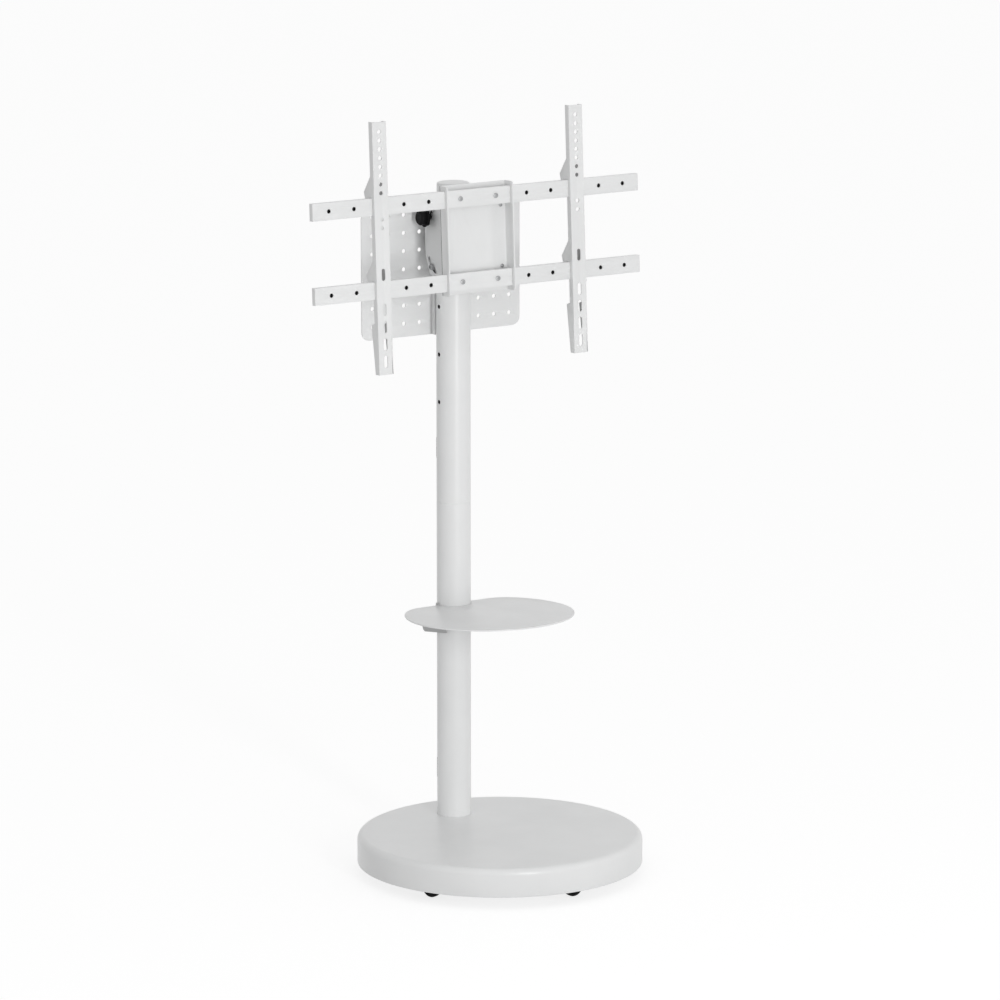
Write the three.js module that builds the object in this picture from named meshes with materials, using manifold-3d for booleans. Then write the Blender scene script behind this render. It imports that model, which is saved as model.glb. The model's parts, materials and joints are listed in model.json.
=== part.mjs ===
// A rolling television stand: a round weighted base on five hidden casters, a round column that carries
// an oval shelf and a perforated equipment plate, and a tilting head with two cross bars and two arms.
// Millimetres, +Z up. The origin is on the floor under the centre of the base, and the front faces -Y.
import * as THREE from "three";
import { mergeVertices } from "three/addons/utils/BufferGeometryUtils.js";
import Module from "manifold-3d";

// Gaps and cuts
const gap = 0.3; // between pieces that turn, slide or are fastened inside the tilted head
const overrun = 1; // how far a cut passes the faces that it cuts

// Base: a thin cover over a heavy round plate
const baseRadius = 250;
const baseTop = 71;
const rimHeight = 20;
const coverWall = 3;
const coverEdgeRadius = 12;
const plateMargin = 3;
const plateThickness = 12;
const flangeRadius = 60;
const flangeThickness = 6;
const footStudCircle = 44;
const footStudCount = 4;
const footStudRadius = 4;
const studRingWidth = 20;
const studRingThickness = 3;

// Casters
const casterCount = 5;
const casterInset = 44; // from the rim of the base to each swivel axis
const casterTrail = 17;
const wheelRadius = 18;
const wheelWidth = 14;
const wheelEdgeRadius = 4;
const axleRadius = 3;
const axleHeadRadius = 4.4;
const axleHeadLength = 1.4;
const forkSideGap = 1.2;
const forkThickness = 2.2;
const forkEyeRadius = 6.5;
const forkEyeFrom = 205; // degrees at which the round end of a leg starts and ends
const forkEyeTo = 380;
const crownRadius = 11;
const crownClearance = 2;
const crownThickness = 3;
const mountRadius = 17;
const mountThickness = 3;
const mountNeckRadius = 8;
const swivelPinRadius = 4;
const swivelHeadRadius = 6.5;
const swivelHeadHeight = 2.5;

// Column
const columnRadius = 30;
const columnWall = 2;
const columnInset = 100; // from the rear of the base to the column's axis
const columnSeam = 637;
const columnTop = 1184;
const joinerLength = 150;
const joinerWall = 2.5;
const joinerScrewRise = 35; // the joiner is pressed into the lower tube, and one screw holds the upper
const joinerScrewRadius = 2.5;
const joinerScrewHeadRadius = 5;
const joinerScrewHeadHeight = 2;
const capRadius = 28.8;
const capHeight = 17.5;
const capPlugDepth = 16;
const capPlugWall = 4;
const capEdgeRadius = 3;
const lockHoleDrop = 30.6; // from the top of the column to the first side hole
const lockHolePitch = 84.3;
const lockHoleCount = 5;
const lockHoleRadius = 3.8;

// Cable grommets in the back of the column
const grommetHeights = { upper: 730, lower: 152 };
const grommetWidth = 38;
const grommetLength = 50;
const grommetCornerShare = 0.25; // corner radius, as a share of the width
const grommetRim = 3;
const grommetRimOverlap = 3;
const grommetWall = 3;

// Shelf, drawn level in its own frame and then turned so that its front stands a little high
const shelfTop = 453;
const shelfPitch = 1.75; // degrees that it rises to the front, so that a load brings it level
const shelfThickness = 2.5;
const shelfHalfWidth = 148;
const shelfWidestFromColumn = -120;
const shelfFrontReach = 145;
const shelfBackHalfWidth = 70;
const shelfSlotGap = 1;
const shelfCornerShare = 0.58; // how squarely each rear corner of the shelf is drawn out
const shelfSideShare = 0.46;
const bracketThickness = 3;
const bracketGap = 1.5;
const bracketFrontFromColumn = -140;
const bracketFrontDepth = 14;
const bracketCheekFromColumn = -27;
const bracketCheekDepth = 43;
const bracketRearFromColumn = 50;
const bracketRearDepth = 51;
const bracketCornerRadius = 9;
const bracketKneeRun = 10;
const bracketTabLength = 3;
const bracketTabRise = 4;
const bracketTabSlopeDrop = 5;
const bracketRearDrop = 16;
const bracketBoltRadius = 4;
const bracketBoltHeadRadius = 7;
const bracketBoltHeadHeight = 4.5;
const bracketBoltDrop = 28;
const shelfScrewRadius = 2.5;
const shelfScrewHeadRadius = 4.6;
const shelfScrewHeadHeight = 2.4;
const shelfScrewBite = 1.3;
const shelfScrewsFromColumn = [-122, -58];

// Carriage: the sleeve that slides on the column, with its liners
const sleeveDrop = 16; // from the top of the column; the drops below are from the top of the sleeve
const sleeveLength = 126;
const sleeveOuterRadius = 35;
const sleeveWall = 2.5;
const linerGap = 0.4;
const linerLength = 24;
const keywayHalfWidth = 22.5;
const keywayWall = 2.4;
const keywayDepth = 34;
const bossRoot = 26;
const pivotFromColumn = -45;
const pivotDrop = 56.6;
const pivotRadius = 4;
const pivotLugRadius = 12;
const pivotHeadRadius = 8;
const pivotHeadHeight = 5.5;
const lockBoltRadius = 3;
const lockBoltFromColumn = 6;
const lockBoltDrop = 113;
const lockBossRadius = 5.5;
const lockWasherRadius = 6;
const lockWasherThickness = 1.5;
const lockHeadRadius = 4.6;
const lockHeadHeight = 4;
const heightBoltDrop = 88;
const heightBoltRadius = 4;
const heightBoltHeadRadius = 7;
const heightBoltHeadHeight = 5;
const heightBossRadius = 9;
const heightBossReach = 46;
const heightBoltStandoff = 4;

// Knob that locks the tilt, on the left ear
const knobFromColumn = 12.5;
const knobDrop = 26;
const knobRadius = 17;
const knobGripLength = 5;
const knobCapRadius = 13.1;
const knobCapLength = 10;
const knobCapFillet = 4;
const knobLobes = 8;
const knobLobeShare = 0.08; // depth of the scallops, as a share of the grip radius
const knobStudRadius = 3.5;
const knobBossRadius = 8;
const knobCollarRadius = 5;
const knobCollarLength = 9.5;
const knobBoreDepth = 18;

// Equipment plate and the channel that holds it
const avHalfWidth = 163;
const avRise = 1; // of the plate's top edge above the sleeve
const avHeight = 239;
const avFrontFromColumn = 39.4;
const avThickness = 2;
const avCornerRadius = 16;
const avHoleRadius = 3.75;
const avHolePitch = 32;
const avInnerHoleX = 45;
const avSideColumns = 4;
const avRows = 7;
const channelHalfWidth = 20;
const channelWall = 3;
const channelFlangeFromColumn = 29.4;
const channelTopMargin = 4;
const channelFlangeMargin = 6;
const avScrewRadius = 2.5;
const avScrewHeadRadius = 5;
const avScrewHeadHeight = 2.2;
const avScrewDrops = [103, 23];

// Tilting head. Its own frame has its origin on the tilt pivot, z along the arms and y to the rear.
const headTilt = 2.9; // degrees that the head leans back in the rest pose
const tiltForward = 8; // degrees that it can still lean forward from there
const tiltBack = 12; // degrees that it can lean further back
const barSpacing = 144;
const barFrontY = -39;
const barLength = 665;
const barHeight = 30;
const barDepth = 10;
const barWall = 2;
const barHoleRadius = 3.75;
const barHolePitch = 50;
const barInnerHoleX = 100;
const barHoleMargin = 15; // least distance from the last hole to the bar's end
const barScrewX = 36;
const barScrewRadius = 3;
const barScrewHeadRadius = 4.6;
const barScrewHeadHeight = 1.8;
const barBossRadius = 6.5;
const trayHalfWidth = 68;
const trayHalfHeight = 95;
const trayWall = 2.5;
const trayPanelSetback = 17;
const trayFlangeProud = 8;
const trayCornerRadius = 6;
const trayScrewX = 56;
const trayScrewZ = 53;
const trayScrewRadius = 2;
const trayScrewHeadRadius = 3.4;
const trayScrewHeadHeight = 1.4;
const earThickness = 3;
const earGap = 0.6;
const earRearY = 76;
const earHalfHeight = 67.5;
const earShoulderZ = 34;
const earChamferY = 63;
const earFootReach = 26;
const earFootHalfHeight = 62;
const slotEndMargin = 1; // degrees of slot beyond the tilt range
const lockSlotGap = 1.2;

// Arms
const armX = 200;
const armWidth = 28;
const armWall = 2;
const armTopZ = 217.5;
const armBottomZ = -217;
const armWebProud = 7.5;
const armFlangeReach = 4;
const armHoleRadius = 3.6;
const armHolePitch = 15;
const armHoleCount = 12;
const armFirstHoleZ = 200.5;
const armSlotLength = 21;
const armSlotPitch = 30;
const armSlotCount = 6;
const armFirstSlotZ = -44.5;
const hookReach = 26;
const hookStart = 37;
const hookShoulder = 9;
const hookLip = 12;
const hookLipDepth = 9;
const armSkirtTopZ = -129;
const armSkirtReach = 14;
const armSkirtStep = 3;
const armSkirtToe = 5;
const armBoltRadius = 2.5;
const armBoltHeadRadius = 3.6;
const armBoltHeadHeight = 3;
const armBoltSetback = 1.5;

// Faceting: how many sides each kind of round has
const baseSides = 48;
const columnSides = 32;
const roundSides = 18;
const pinSides = 10;
const patternHoleSides = 6;
const hexagonSides = 6;
const knobLobeSteps = 5;
const filletSteps = 3;
const shelfSteps = 16;

const wasm = await Module();
wasm.setup();

const radians = THREE.MathUtils.degToRad;
const coat = { color: 0xe9eaea, roughness: 0.5, metalness: 0.1 };
const steel = { color: 0xb4b6b8, roughness: 0.35, metalness: 0.9 };
const black = { color: 0x161617, roughness: 0.55, metalness: 0.0 };
const rubber = { color: 0x101011, roughness: 0.8, metalness: 0.0 };

// Solids

function solid(geometry) {
  geometry.deleteAttribute("normal");
  geometry.deleteAttribute("uv");
  const merged = mergeVertices(geometry, 1e-4);
  return new wasm.Manifold(new wasm.Mesh({
    numProp: 3,
    vertProperties: new Float32Array(merged.attributes.position.array),
    triVerts: new Uint32Array(merged.index.array),
  }));
}

function geometryOf(manifold) {
  const { vertProperties, triVerts } = manifold.getMesh();
  const geometry = new THREE.BufferGeometry();
  geometry.setAttribute("position", new THREE.BufferAttribute(new Float32Array(vertProperties), 3));
  geometry.setIndex(new THREE.BufferAttribute(new Uint32Array(triVerts), 1));
  geometry.computeVertexNormals();
  return geometry;
}

function union(solids) {
  return solids.reduce((whole, piece) => whole.add(piece));
}

function cut(whole, tools) {
  return tools.reduce((rest, tool) => rest.subtract(tool), whole);
}

function box(x0, x1, y0, y1, z0, z1) {
  const geometry = new THREE.BoxGeometry(x1 - x0, y1 - y0, z1 - z0);
  return solid(geometry.translate((x0 + x1) / 2, (y0 + y1) / 2, (z0 + z1) / 2));
}

// A rod of revolution about Z from [radius, z] pairs that start and end on the axis.
function turnedZ(profile, sides) {
  const points = profile.map(([r, z]) => new THREE.Vector2(r, z));
  return solid(new THREE.LatheGeometry(points, sides).rotateX(Math.PI / 2));
}

function rodZ(radius, z0, z1, sides = pinSides) {
  return turnedZ([[0, z0], [radius, z0], [radius, z1], [0, z1]], sides);
}

function rodX(radius, x0, x1, sides = pinSides) {
  return rodZ(radius, x0, x1, sides).rotate([0, 90, 0]);
}

function rodY(radius, y0, y1, sides = pinSides) {
  return rodZ(radius, -y1, -y0, sides).rotate([90, 0, 0]);
}

// Outlines drawn as (x, y), (y, z) or (x, z) and pushed along the axis that is left.
function extrudedZ(shape, z0, z1) {
  const settings = { depth: z1 - z0, bevelEnabled: false, curveSegments: pinSides / 2 };
  return solid(new THREE.ExtrudeGeometry(shape, settings).translate(0, 0, z0));
}

function extrudedX(shape, x0, x1) {
  const turn = new THREE.Matrix4().set(0, 0, 1, 0, 1, 0, 0, 0, 0, 1, 0, 0, 0, 0, 0, 1);
  const settings = { depth: x1 - x0, bevelEnabled: false, curveSegments: pinSides / 2 };
  return solid(new THREE.ExtrudeGeometry(shape, settings).translate(0, 0, x0).applyMatrix4(turn));
}

function extrudedY(shape, y0, y1) {
  const settings = { depth: y1 - y0, bevelEnabled: false, curveSegments: pinSides / 2 };
  return solid(new THREE.ExtrudeGeometry(shape, settings).translate(0, 0, -y1).rotateX(Math.PI / 2));
}

function outline(points) {
  return new THREE.Shape(points.map(([a, b]) => new THREE.Vector2(a, b)));
}

function arcPoints(a, b, radius, from, to, steps) {
  return Array.from({ length: steps + 1 }, (_, i) => {
    const angle = radians(from + ((to - from) * i) / steps);
    return [a + radius * Math.cos(angle), b + radius * Math.sin(angle)];
  });
}

function roundedRectangle(a0, a1, b0, b1, radius) {
  return outline([
    ...arcPoints(a1 - radius, b0 + radius, radius, -90, 0, filletSteps),
    ...arcPoints(a1 - radius, b1 - radius, radius, 0, 90, filletSteps),
    ...arcPoints(a0 + radius, b1 - radius, radius, 90, 180, filletSteps),
    ...arcPoints(a0 + radius, b0 + radius, radius, 180, 270, filletSteps),
  ]);
}

function stadium(width, height) {
  return outline([
    ...arcPoints(0, (height - width) / 2, width / 2, 0, 180, pinSides / 2),
    ...arcPoints(0, (width - height) / 2, width / 2, 180, 360, pinSides / 2),
  ]);
}

function holePath(a, b, radius) {
  return new THREE.Path(arcPoints(a, b, radius, 0, 360, patternHoleSides).slice(0, -1)
    .map(([x, y]) => new THREE.Vector2(x, y)));
}

function tubeZ(outer, inner, z0, z1, sides) {
  return cut(rodZ(outer, z0, z1, sides), [rodZ(inner, z0 - overrun, z1 + overrun, sides)]);
}

function screwY(radius, y0, y1, headRadius, headHeight) {
  return rodY(radius, y0, y1 + headHeight / 2).add(rodY(headRadius, y1, y1 + headHeight));
}

// Tree

const stand = new THREE.Group();

function place(parent, name, manifold, finish) {
  const mesh = new THREE.Mesh(geometryOf(manifold), new THREE.MeshStandardMaterial(finish));
  mesh.name = name;
  parent.add(mesh);
  return mesh;
}

function group(parent, x, y, z) {
  const child = new THREE.Group();
  child.position.set(x, y, z);
  parent.add(child);
  return child;
}

// Base

const columnY = baseRadius - columnInset;
const casterCircle = baseRadius - casterInset;
const coverUnderside = baseTop - coverWall;
const plateTop = coverUnderside - flangeThickness;
const plateBottom = plateTop - plateThickness;
const plateRadius = baseRadius - coverWall - plateMargin;

function baseCover() {
  const arcRadius = baseRadius - coverEdgeRadius;
  const arcHeight = baseTop - coverEdgeRadius;
  const outerArc = arcPoints(arcRadius, arcHeight, coverEdgeRadius, 0, 90, filletSteps);
  const innerArc = arcPoints(arcRadius, arcHeight, coverEdgeRadius - coverWall, 90, 0, filletSteps);
  const profile = [
    [0, coverUnderside], ...innerArc,
    [baseRadius - coverWall, rimHeight], [baseRadius, rimHeight],
    ...outerArc, [0, baseTop],
  ];
  const shell = turnedZ(profile, baseSides);
  const opening = rodZ(columnRadius + gap, coverUnderside - overrun, baseTop + overrun, columnSides);
  return shell.subtract(opening.translate([0, columnY, 0]));
}

// Four rods round the column's axis, for the studs that hold the foot and for their holes.
function footRods(radius, z0, z1) {
  return Array.from({ length: footStudCount }, (_, i) =>
    rodZ(radius, z0, z1).translate([footStudCircle, 0, 0]).rotate([0, 0, (360 / footStudCount) * (i + 0.5)]));
}

function buildBase() {
  place(stand, "base_cover", baseCover(), coat);
  const holes = footRods(footStudRadius + gap, plateBottom - overrun, plateTop + overrun);
  const plate = rodZ(plateRadius, plateBottom, plateTop, baseSides);
  place(stand, "base_plate", cut(plate, holes.map((hole) => hole.translate([0, columnY, 0]))), steel);
  const ring = tubeZ(footStudCircle + studRingWidth / 2, footStudCircle - studRingWidth / 2,
    plateBottom - studRingThickness, plateBottom, columnSides);
  const studs = footRods(footStudRadius, plateBottom - overrun, coverUnderside - gap);
  place(stand, "foot_stud_ring", union([ring, ...studs]).translate([0, columnY, 0]), steel);
}

// Casters, each in a group whose origin is on its swivel axis and whose +X trails round the base

const forkInner = wheelWidth / 2 + forkSideGap;
const forkOuter = forkInner + forkThickness;
const crownBottom = 2 * wheelRadius + crownClearance;
const crownTop = crownBottom + crownThickness;

function casterMount() {
  const neckBottom = crownTop + gap;
  const headTop = crownBottom - gap;
  return turnedZ([
    [0, headTop - swivelHeadHeight], [swivelHeadRadius, headTop - swivelHeadHeight],
    [swivelHeadRadius, headTop], [swivelPinRadius, headTop], [swivelPinRadius, neckBottom],
    [mountNeckRadius, neckBottom], [mountNeckRadius, plateBottom - mountThickness],
    [mountRadius, plateBottom - mountThickness], [mountRadius, plateBottom], [0, plateBottom],
  ], pinSides);
}

function casterFork() {
  const side = outline([
    [-crownRadius, crownTop], [-crownRadius, crownBottom],
    ...arcPoints(casterTrail, wheelRadius, forkEyeRadius, forkEyeFrom, forkEyeTo, pinSides / 2),
    [casterTrail + forkEyeRadius, crownTop],
  ]);
  const legs = [-forkOuter, forkInner].map((y) => extrudedY(side, y, y + forkThickness));
  const crown = box(-crownRadius, casterTrail + forkEyeRadius, -forkOuter, forkOuter, crownBottom, crownTop);
  const pinHole = rodZ(swivelPinRadius + gap, crownBottom - overrun, crownTop + overrun);
  const end = forkOuter + axleHeadLength;
  const axle = turnedZ([
    [0, -end], [axleHeadRadius, -end], [axleHeadRadius, -forkInner], [axleRadius, -forkInner],
    [axleRadius, forkInner], [axleHeadRadius, forkInner], [axleHeadRadius, end], [0, end],
  ], pinSides).rotate([90, 0, 0]).translate([casterTrail, 0, wheelRadius]);
  return union([...legs, crown]).subtract(pinHole).add(axle);
}

function casterWheel() {
  const half = wheelWidth / 2;
  const shoulder = wheelRadius - wheelEdgeRadius;
  const edge = half - wheelEdgeRadius;
  const bore = rodZ(axleRadius + gap, -half - overrun, half + overrun);
  return turnedZ([
    [0, -half], ...arcPoints(shoulder, -edge, wheelEdgeRadius, -90, 0, filletSteps - 1),
    ...arcPoints(shoulder, edge, wheelEdgeRadius, 0, 90, filletSteps - 1), [0, half],
  ], roundSides).subtract(bore).rotate([90, 0, 0]).translate([casterTrail, 0, wheelRadius]);
}

function buildCasters() {
  for (let i = 0; i < casterCount; i += 1) {
    const angle = radians((360 / casterCount) * i);
    const caster = group(stand, casterCircle * Math.sin(angle), -casterCircle * Math.cos(angle), 0);
    caster.rotation.z = angle;
    const name = `caster_${i + 1}`;
    place(caster, `${name}_mount`, casterMount(), steel);
    place(caster, `${name}_fork`, casterFork(), black);
    place(caster, `${name}_wheel`, casterWheel(), rubber);
  }
}

// Column, in a group whose Z axis is the column's own

const columnInner = columnRadius - columnWall;
const lockHoleTop = columnTop - lockHoleDrop;
const shelfBottom = shelfTop - shelfThickness;
const shelfWidestY = columnY + shelfWidestFromColumn;
const shelfScrewRows = shelfScrewsFromColumn.map((y) => columnY + y);
const bracketBoltZ = shelfBottom - bracketBoltDrop;
const rimRadius = columnRadius + grommetRim;

function grommetCut(width, height, z) {
  const shape = roundedRectangle(-width / 2, width / 2, -height / 2, height / 2, width * grommetCornerShare);
  return extrudedY(shape, 0, rimRadius + overrun).translate([0, 0, z]);
}

function joinerScrewHole() {
  return rodY(joinerScrewRadius + gap, 0, columnRadius + overrun)
    .translate([0, 0, columnSeam + joinerScrewRise]);
}

function grommetOpening(z) {
  const inset = 2 * (grommetRimOverlap - gap);
  return grommetCut(grommetWidth - inset, grommetLength - inset, z);
}

function columnLower() {
  const tube = tubeZ(columnRadius, columnInner, coverUnderside - overrun, columnSeam, columnSides);
  const flange = tubeZ(flangeRadius, columnInner, plateTop, coverUnderside - gap, columnSides);
  const studHoles = footRods(footStudRadius + gap, plateTop - overrun, coverUnderside + overrun);
  const boltHole = rodX(bracketBoltRadius + gap, -columnRadius - overrun, columnRadius + overrun)
    .translate([0, 0, bracketBoltZ]);
  return cut(tube.add(flange), [grommetOpening(grommetHeights.lower), ...studHoles, boltHole]);
}

function columnUpper() {
  const tube = tubeZ(columnRadius, columnInner, columnSeam, columnTop, columnSides);
  const lockHoles = Array.from({ length: lockHoleCount }, (_, i) =>
    rodX(lockHoleRadius, -columnRadius - overrun, 0).translate([0, 0, lockHoleTop - i * lockHolePitch]));
  return cut(tube, [grommetOpening(grommetHeights.upper), joinerScrewHole(), ...lockHoles]);
}

function columnJoiner() {
  const outer = columnInner - gap;
  const bottom = columnSeam - joinerLength / 2;
  const tube = tubeZ(outer, outer - joinerWall, bottom, bottom + joinerLength, columnSides);
  return tube.subtract(joinerScrewHole());
}

function joinerScrew() {
  const tip = columnInner - gap - joinerWall;
  return screwY(joinerScrewRadius, tip, columnRadius + gap, joinerScrewHeadRadius, joinerScrewHeadHeight)
    .translate([0, 0, columnSeam + joinerScrewRise]);
}

function columnCap() {
  const plugRadius = columnInner - gap;
  const top = columnTop + capHeight;
  const plugBottom = columnTop - capPlugDepth;
  const edge = arcPoints(capRadius - capEdgeRadius, top - capEdgeRadius, capEdgeRadius, 0, 90, filletSteps);
  return turnedZ([
    [0, columnTop], [plugRadius - capPlugWall, columnTop], [plugRadius - capPlugWall, plugBottom],
    [plugRadius, plugBottom], [plugRadius, columnTop], [capRadius, columnTop], ...edge, [0, top],
  ], columnSides);
}

function grommet(z) {
  const half = grommetLength / 2 + overrun;
  const rim = tubeZ(rimRadius, columnRadius + gap, z - half, z + half, columnSides)
    .intersect(grommetCut(grommetWidth, grommetLength, z));
  const inset = 2 * grommetRimOverlap;
  const collar = tubeZ(columnRadius + grommetRim / 2, columnInner, z - half, z + half, columnSides)
    .intersect(grommetCut(grommetWidth - inset, grommetLength - inset, z));
  const passage = inset + 2 * grommetWall;
  return rim.add(collar).subtract(grommetCut(grommetWidth - passage, grommetLength - passage, z));
}

function buildColumn(column) {
  place(column, "column_lower", columnLower(), coat);
  place(column, "column_upper", columnUpper(), coat);
  place(column, "column_joiner", columnJoiner(), steel);
  place(column, "joiner_screw", joinerScrew(), steel);
  place(column, "column_cap", columnCap(), coat);
  place(column, "cable_grommet_upper", grommet(grommetHeights.upper), black);
  place(column, "cable_grommet_lower", grommet(grommetHeights.lower), black);
}

// Shelf

const bracketTop = shelfBottom - gap;
const bracketInnerX = columnRadius + bracketGap;
const bracketOuterX = bracketInnerX + bracketThickness;
const bracketFrontY = columnY + bracketFrontFromColumn;
const bracketCheekFrontY = columnY + bracketCheekFromColumn;
const bracketRearY = columnY + bracketRearFromColumn;

// The back edge of the shelf lies level with the column's axis, and a half round there clears the tube.
function shelfOutline() {
  const shape = new THREE.Shape();
  const slot = columnRadius + shelfSlotGap;
  const sideRise = (columnY - shelfWidestY) * shelfSideShare;
  const backRun = (shelfHalfWidth - shelfBackHalfWidth) * shelfCornerShare;
  shape.moveTo(slot, columnY);
  shape.lineTo(shelfBackHalfWidth, columnY);
  shape.bezierCurveTo(shelfBackHalfWidth + backRun, columnY,
    shelfHalfWidth, shelfWidestY + sideRise, shelfHalfWidth, shelfWidestY);
  shape.absellipse(0, shelfWidestY, shelfHalfWidth, shelfFrontReach, 0, Math.PI, true, 0);
  shape.bezierCurveTo(-shelfHalfWidth, shelfWidestY + sideRise,
    -shelfBackHalfWidth - backRun, columnY, -shelfBackHalfWidth, columnY);
  shape.lineTo(-slot, columnY);
  shape.absarc(0, columnY, slot, Math.PI, 2 * Math.PI, false);
  return shape;
}

function shelfScrewHoles() {
  return shelfScrewRows.map((y) =>
    rodZ(shelfScrewRadius + gap, bracketTop - bracketThickness - overrun, shelfBottom + shelfScrewBite + gap)
      .translate([0, y, 0]));
}

function shelfPlate() {
  const settings = { depth: shelfThickness, bevelEnabled: false, curveSegments: shelfSteps };
  const plate = solid(new THREE.ExtrudeGeometry(shelfOutline(), settings).translate(0, 0, shelfBottom));
  return cut(plate, shelfScrewHoles());
}

function shelfBracket() {
  const top = bracketTop;
  const tabFront = columnY + gap;
  const tabRear = tabFront + bracketTabLength;
  const tabTop = shelfTop + bracketTabRise;
  const corner = bracketCornerRadius;
  const cheek = outline([
    [bracketFrontY, top], [bracketFrontY, top - bracketFrontDepth],
    [bracketCheekFrontY - bracketKneeRun, top - bracketFrontDepth],
    [bracketCheekFrontY, top - bracketCheekDepth],
    ...arcPoints(bracketRearY - corner, top - bracketRearDepth + corner, corner, -90, 0, filletSteps),
    [bracketRearY, top - bracketRearDrop - corner], [bracketRearY - corner, top - bracketRearDrop],
    [tabRear + bracketTabLength, top - bracketTabSlopeDrop], [tabRear, tabTop], [tabFront, tabTop],
    [tabFront, top],
  ]);
  const cheeks = [-bracketOuterX, bracketInnerX].map((x) => extrudedX(cheek, x, x + bracketThickness));
  const deck = box(-bracketOuterX, bracketOuterX, bracketFrontY, columnY, top - bracketThickness, top);
  const round = rodZ(bracketInnerX, top - bracketThickness - overrun, top + overrun, columnSides)
    .translate([0, columnY, 0]);
  const boltHole = rodX(bracketBoltRadius + gap, -bracketOuterX - overrun, bracketOuterX + overrun)
    .translate([0, columnY, bracketBoltZ]);
  return cut(union([...cheeks, deck]), [round, boltHole, ...shelfScrewHoles()]);
}

function shelfScrew(y) {
  const headTop = bracketTop - bracketThickness - gap;
  return rodZ(shelfScrewRadius, headTop - gap, shelfBottom + shelfScrewBite)
    .add(rodZ(shelfScrewHeadRadius, headTop - shelfScrewHeadHeight, headTop)).translate([0, y, 0]);
}

function bracketBolt() {
  const seat = bracketOuterX + gap;
  return rodX(bracketBoltRadius, -bracketOuterX, seat + gap)
    .add(rodX(bracketBoltHeadRadius, seat, seat + bracketBoltHeadHeight, hexagonSides))
    .translate([0, columnY, bracketBoltZ]);
}

function buildShelf() {
  const turned = group(stand, 0, columnY, bracketBoltZ);
  turned.rotation.x = -radians(shelfPitch);
  const shelf = group(turned, 0, -columnY, -bracketBoltZ);
  place(shelf, "shelf_plate", shelfPlate(), coat);
  place(shelf, "shelf_bracket", shelfBracket(), coat);
  shelfScrewRows.forEach((y, i) => place(shelf, `shelf_screw_${i + 1}`, shelfScrew(y), steel));
  place(shelf, "shelf_bracket_bolt", bracketBolt(), steel);
}

// Carriage, in the column's group

const sleeveTop = columnTop - sleeveDrop;
const sleeveBottom = sleeveTop - sleeveLength;
const pivotZ = sleeveTop - pivotDrop;
const lockBoltZ = sleeveTop - lockBoltDrop;
const heightBoltZ = sleeveTop - heightBoltDrop;
const knobZ = sleeveTop - knobDrop;
const sleeveInner = sleeveOuterRadius - sleeveWall;
const linerOuter = sleeveInner - gap;
const earInnerX = sleeveOuterRadius + earGap;
const earOuterX = earInnerX + earThickness;

function keyhole(radius, halfWidth, rearY) {
  const angle = THREE.MathUtils.radToDeg(Math.acos(halfWidth / radius));
  return outline([
    [halfWidth, rearY], [-halfWidth, rearY],
    ...arcPoints(0, 0, radius, 180 - angle, 360 + angle, columnSides),
  ]);
}

function carriageSleeve() {
  const outerShape = keyhole(sleeveOuterRadius, keywayHalfWidth + sleeveWall, keywayDepth + keywayWall);
  const outer = extrudedZ(outerShape, sleeveBottom, sleeveTop);
  const boreShape = keyhole(sleeveInner, keywayHalfWidth, keywayDepth);
  const bore = extrudedZ(boreShape, sleeveBottom - overrun, sleeveTop + overrun);
  const lug = rodX(pivotLugRadius, -sleeveOuterRadius, sleeveOuterRadius, roundSides)
    .translate([0, pivotFromColumn, pivotZ]);
  const web = box(-sleeveOuterRadius, sleeveOuterRadius, pivotFromColumn, pivotLugRadius - sleeveOuterRadius,
    pivotZ - pivotLugRadius, pivotZ + pivotLugRadius);
  const sideBoss = (side, radius, y, z) =>
    rodX(radius, bossRoot, sleeveOuterRadius, roundSides).scale([side, 1, 1]).translate([0, y, z]);
  const bosses = [
    sideBoss(-1, knobBossRadius, knobFromColumn, knobZ),
    sideBoss(-1, lockBossRadius, lockBoltFromColumn, lockBoltZ),
    sideBoss(1, lockBossRadius, lockBoltFromColumn, lockBoltZ),
    rodY(heightBossRadius, -heightBossReach, -bossRoot, roundSides).translate([0, 0, heightBoltZ]),
  ];
  const across = (radius, y, z, end) => rodX(radius + gap, -earInnerX, end).translate([0, y, z]);
  const bores = [
    across(pivotRadius, pivotFromColumn, pivotZ, earInnerX),
    across(lockBoltRadius, lockBoltFromColumn, lockBoltZ, earInnerX),
    across(knobStudRadius, knobFromColumn, knobZ, 0),
    rodY(heightBoltRadius + gap, -heightBossReach - overrun, 0).translate([0, 0, heightBoltZ]),
  ];
  const screwHoles = avScrewHoles().map((hole) => hole.translate([0, -columnY, 0]));
  return cut(union([outer, lug, web, ...bosses]), [bore, ...bores, ...screwHoles]);
}

function carriageLiner(bottom) {
  const inner = columnRadius + linerGap;
  const rear = keywayDepth - gap;
  const outerShape = keyhole(linerOuter, keywayHalfWidth - gap, rear);
  const innerShape = keyhole(inner, keywayHalfWidth - gap - (linerOuter - inner), rear + overrun);
  const top = bottom + linerLength;
  return extrudedZ(outerShape, bottom, top).subtract(extrudedZ(innerShape, bottom - overrun, top + overrun));
}

function knobOutline() {
  const steps = knobLobes * knobLobeSteps;
  return outline(Array.from({ length: steps }, (_, i) => {
    const angle = (2 * Math.PI * i) / steps;
    const radius = knobRadius * (1 - knobLobeShare * (0.5 - 0.5 * Math.cos(knobLobes * angle)));
    return [radius * Math.cos(angle), radius * Math.sin(angle)];
  }));
}

const knobInnerX = -(earOuterX + gap);
const knobGripX = knobInnerX - knobCollarLength;
const knobCapX = knobGripX - knobGripLength;
const knobFaceX = knobCapX - knobCapLength;

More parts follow.
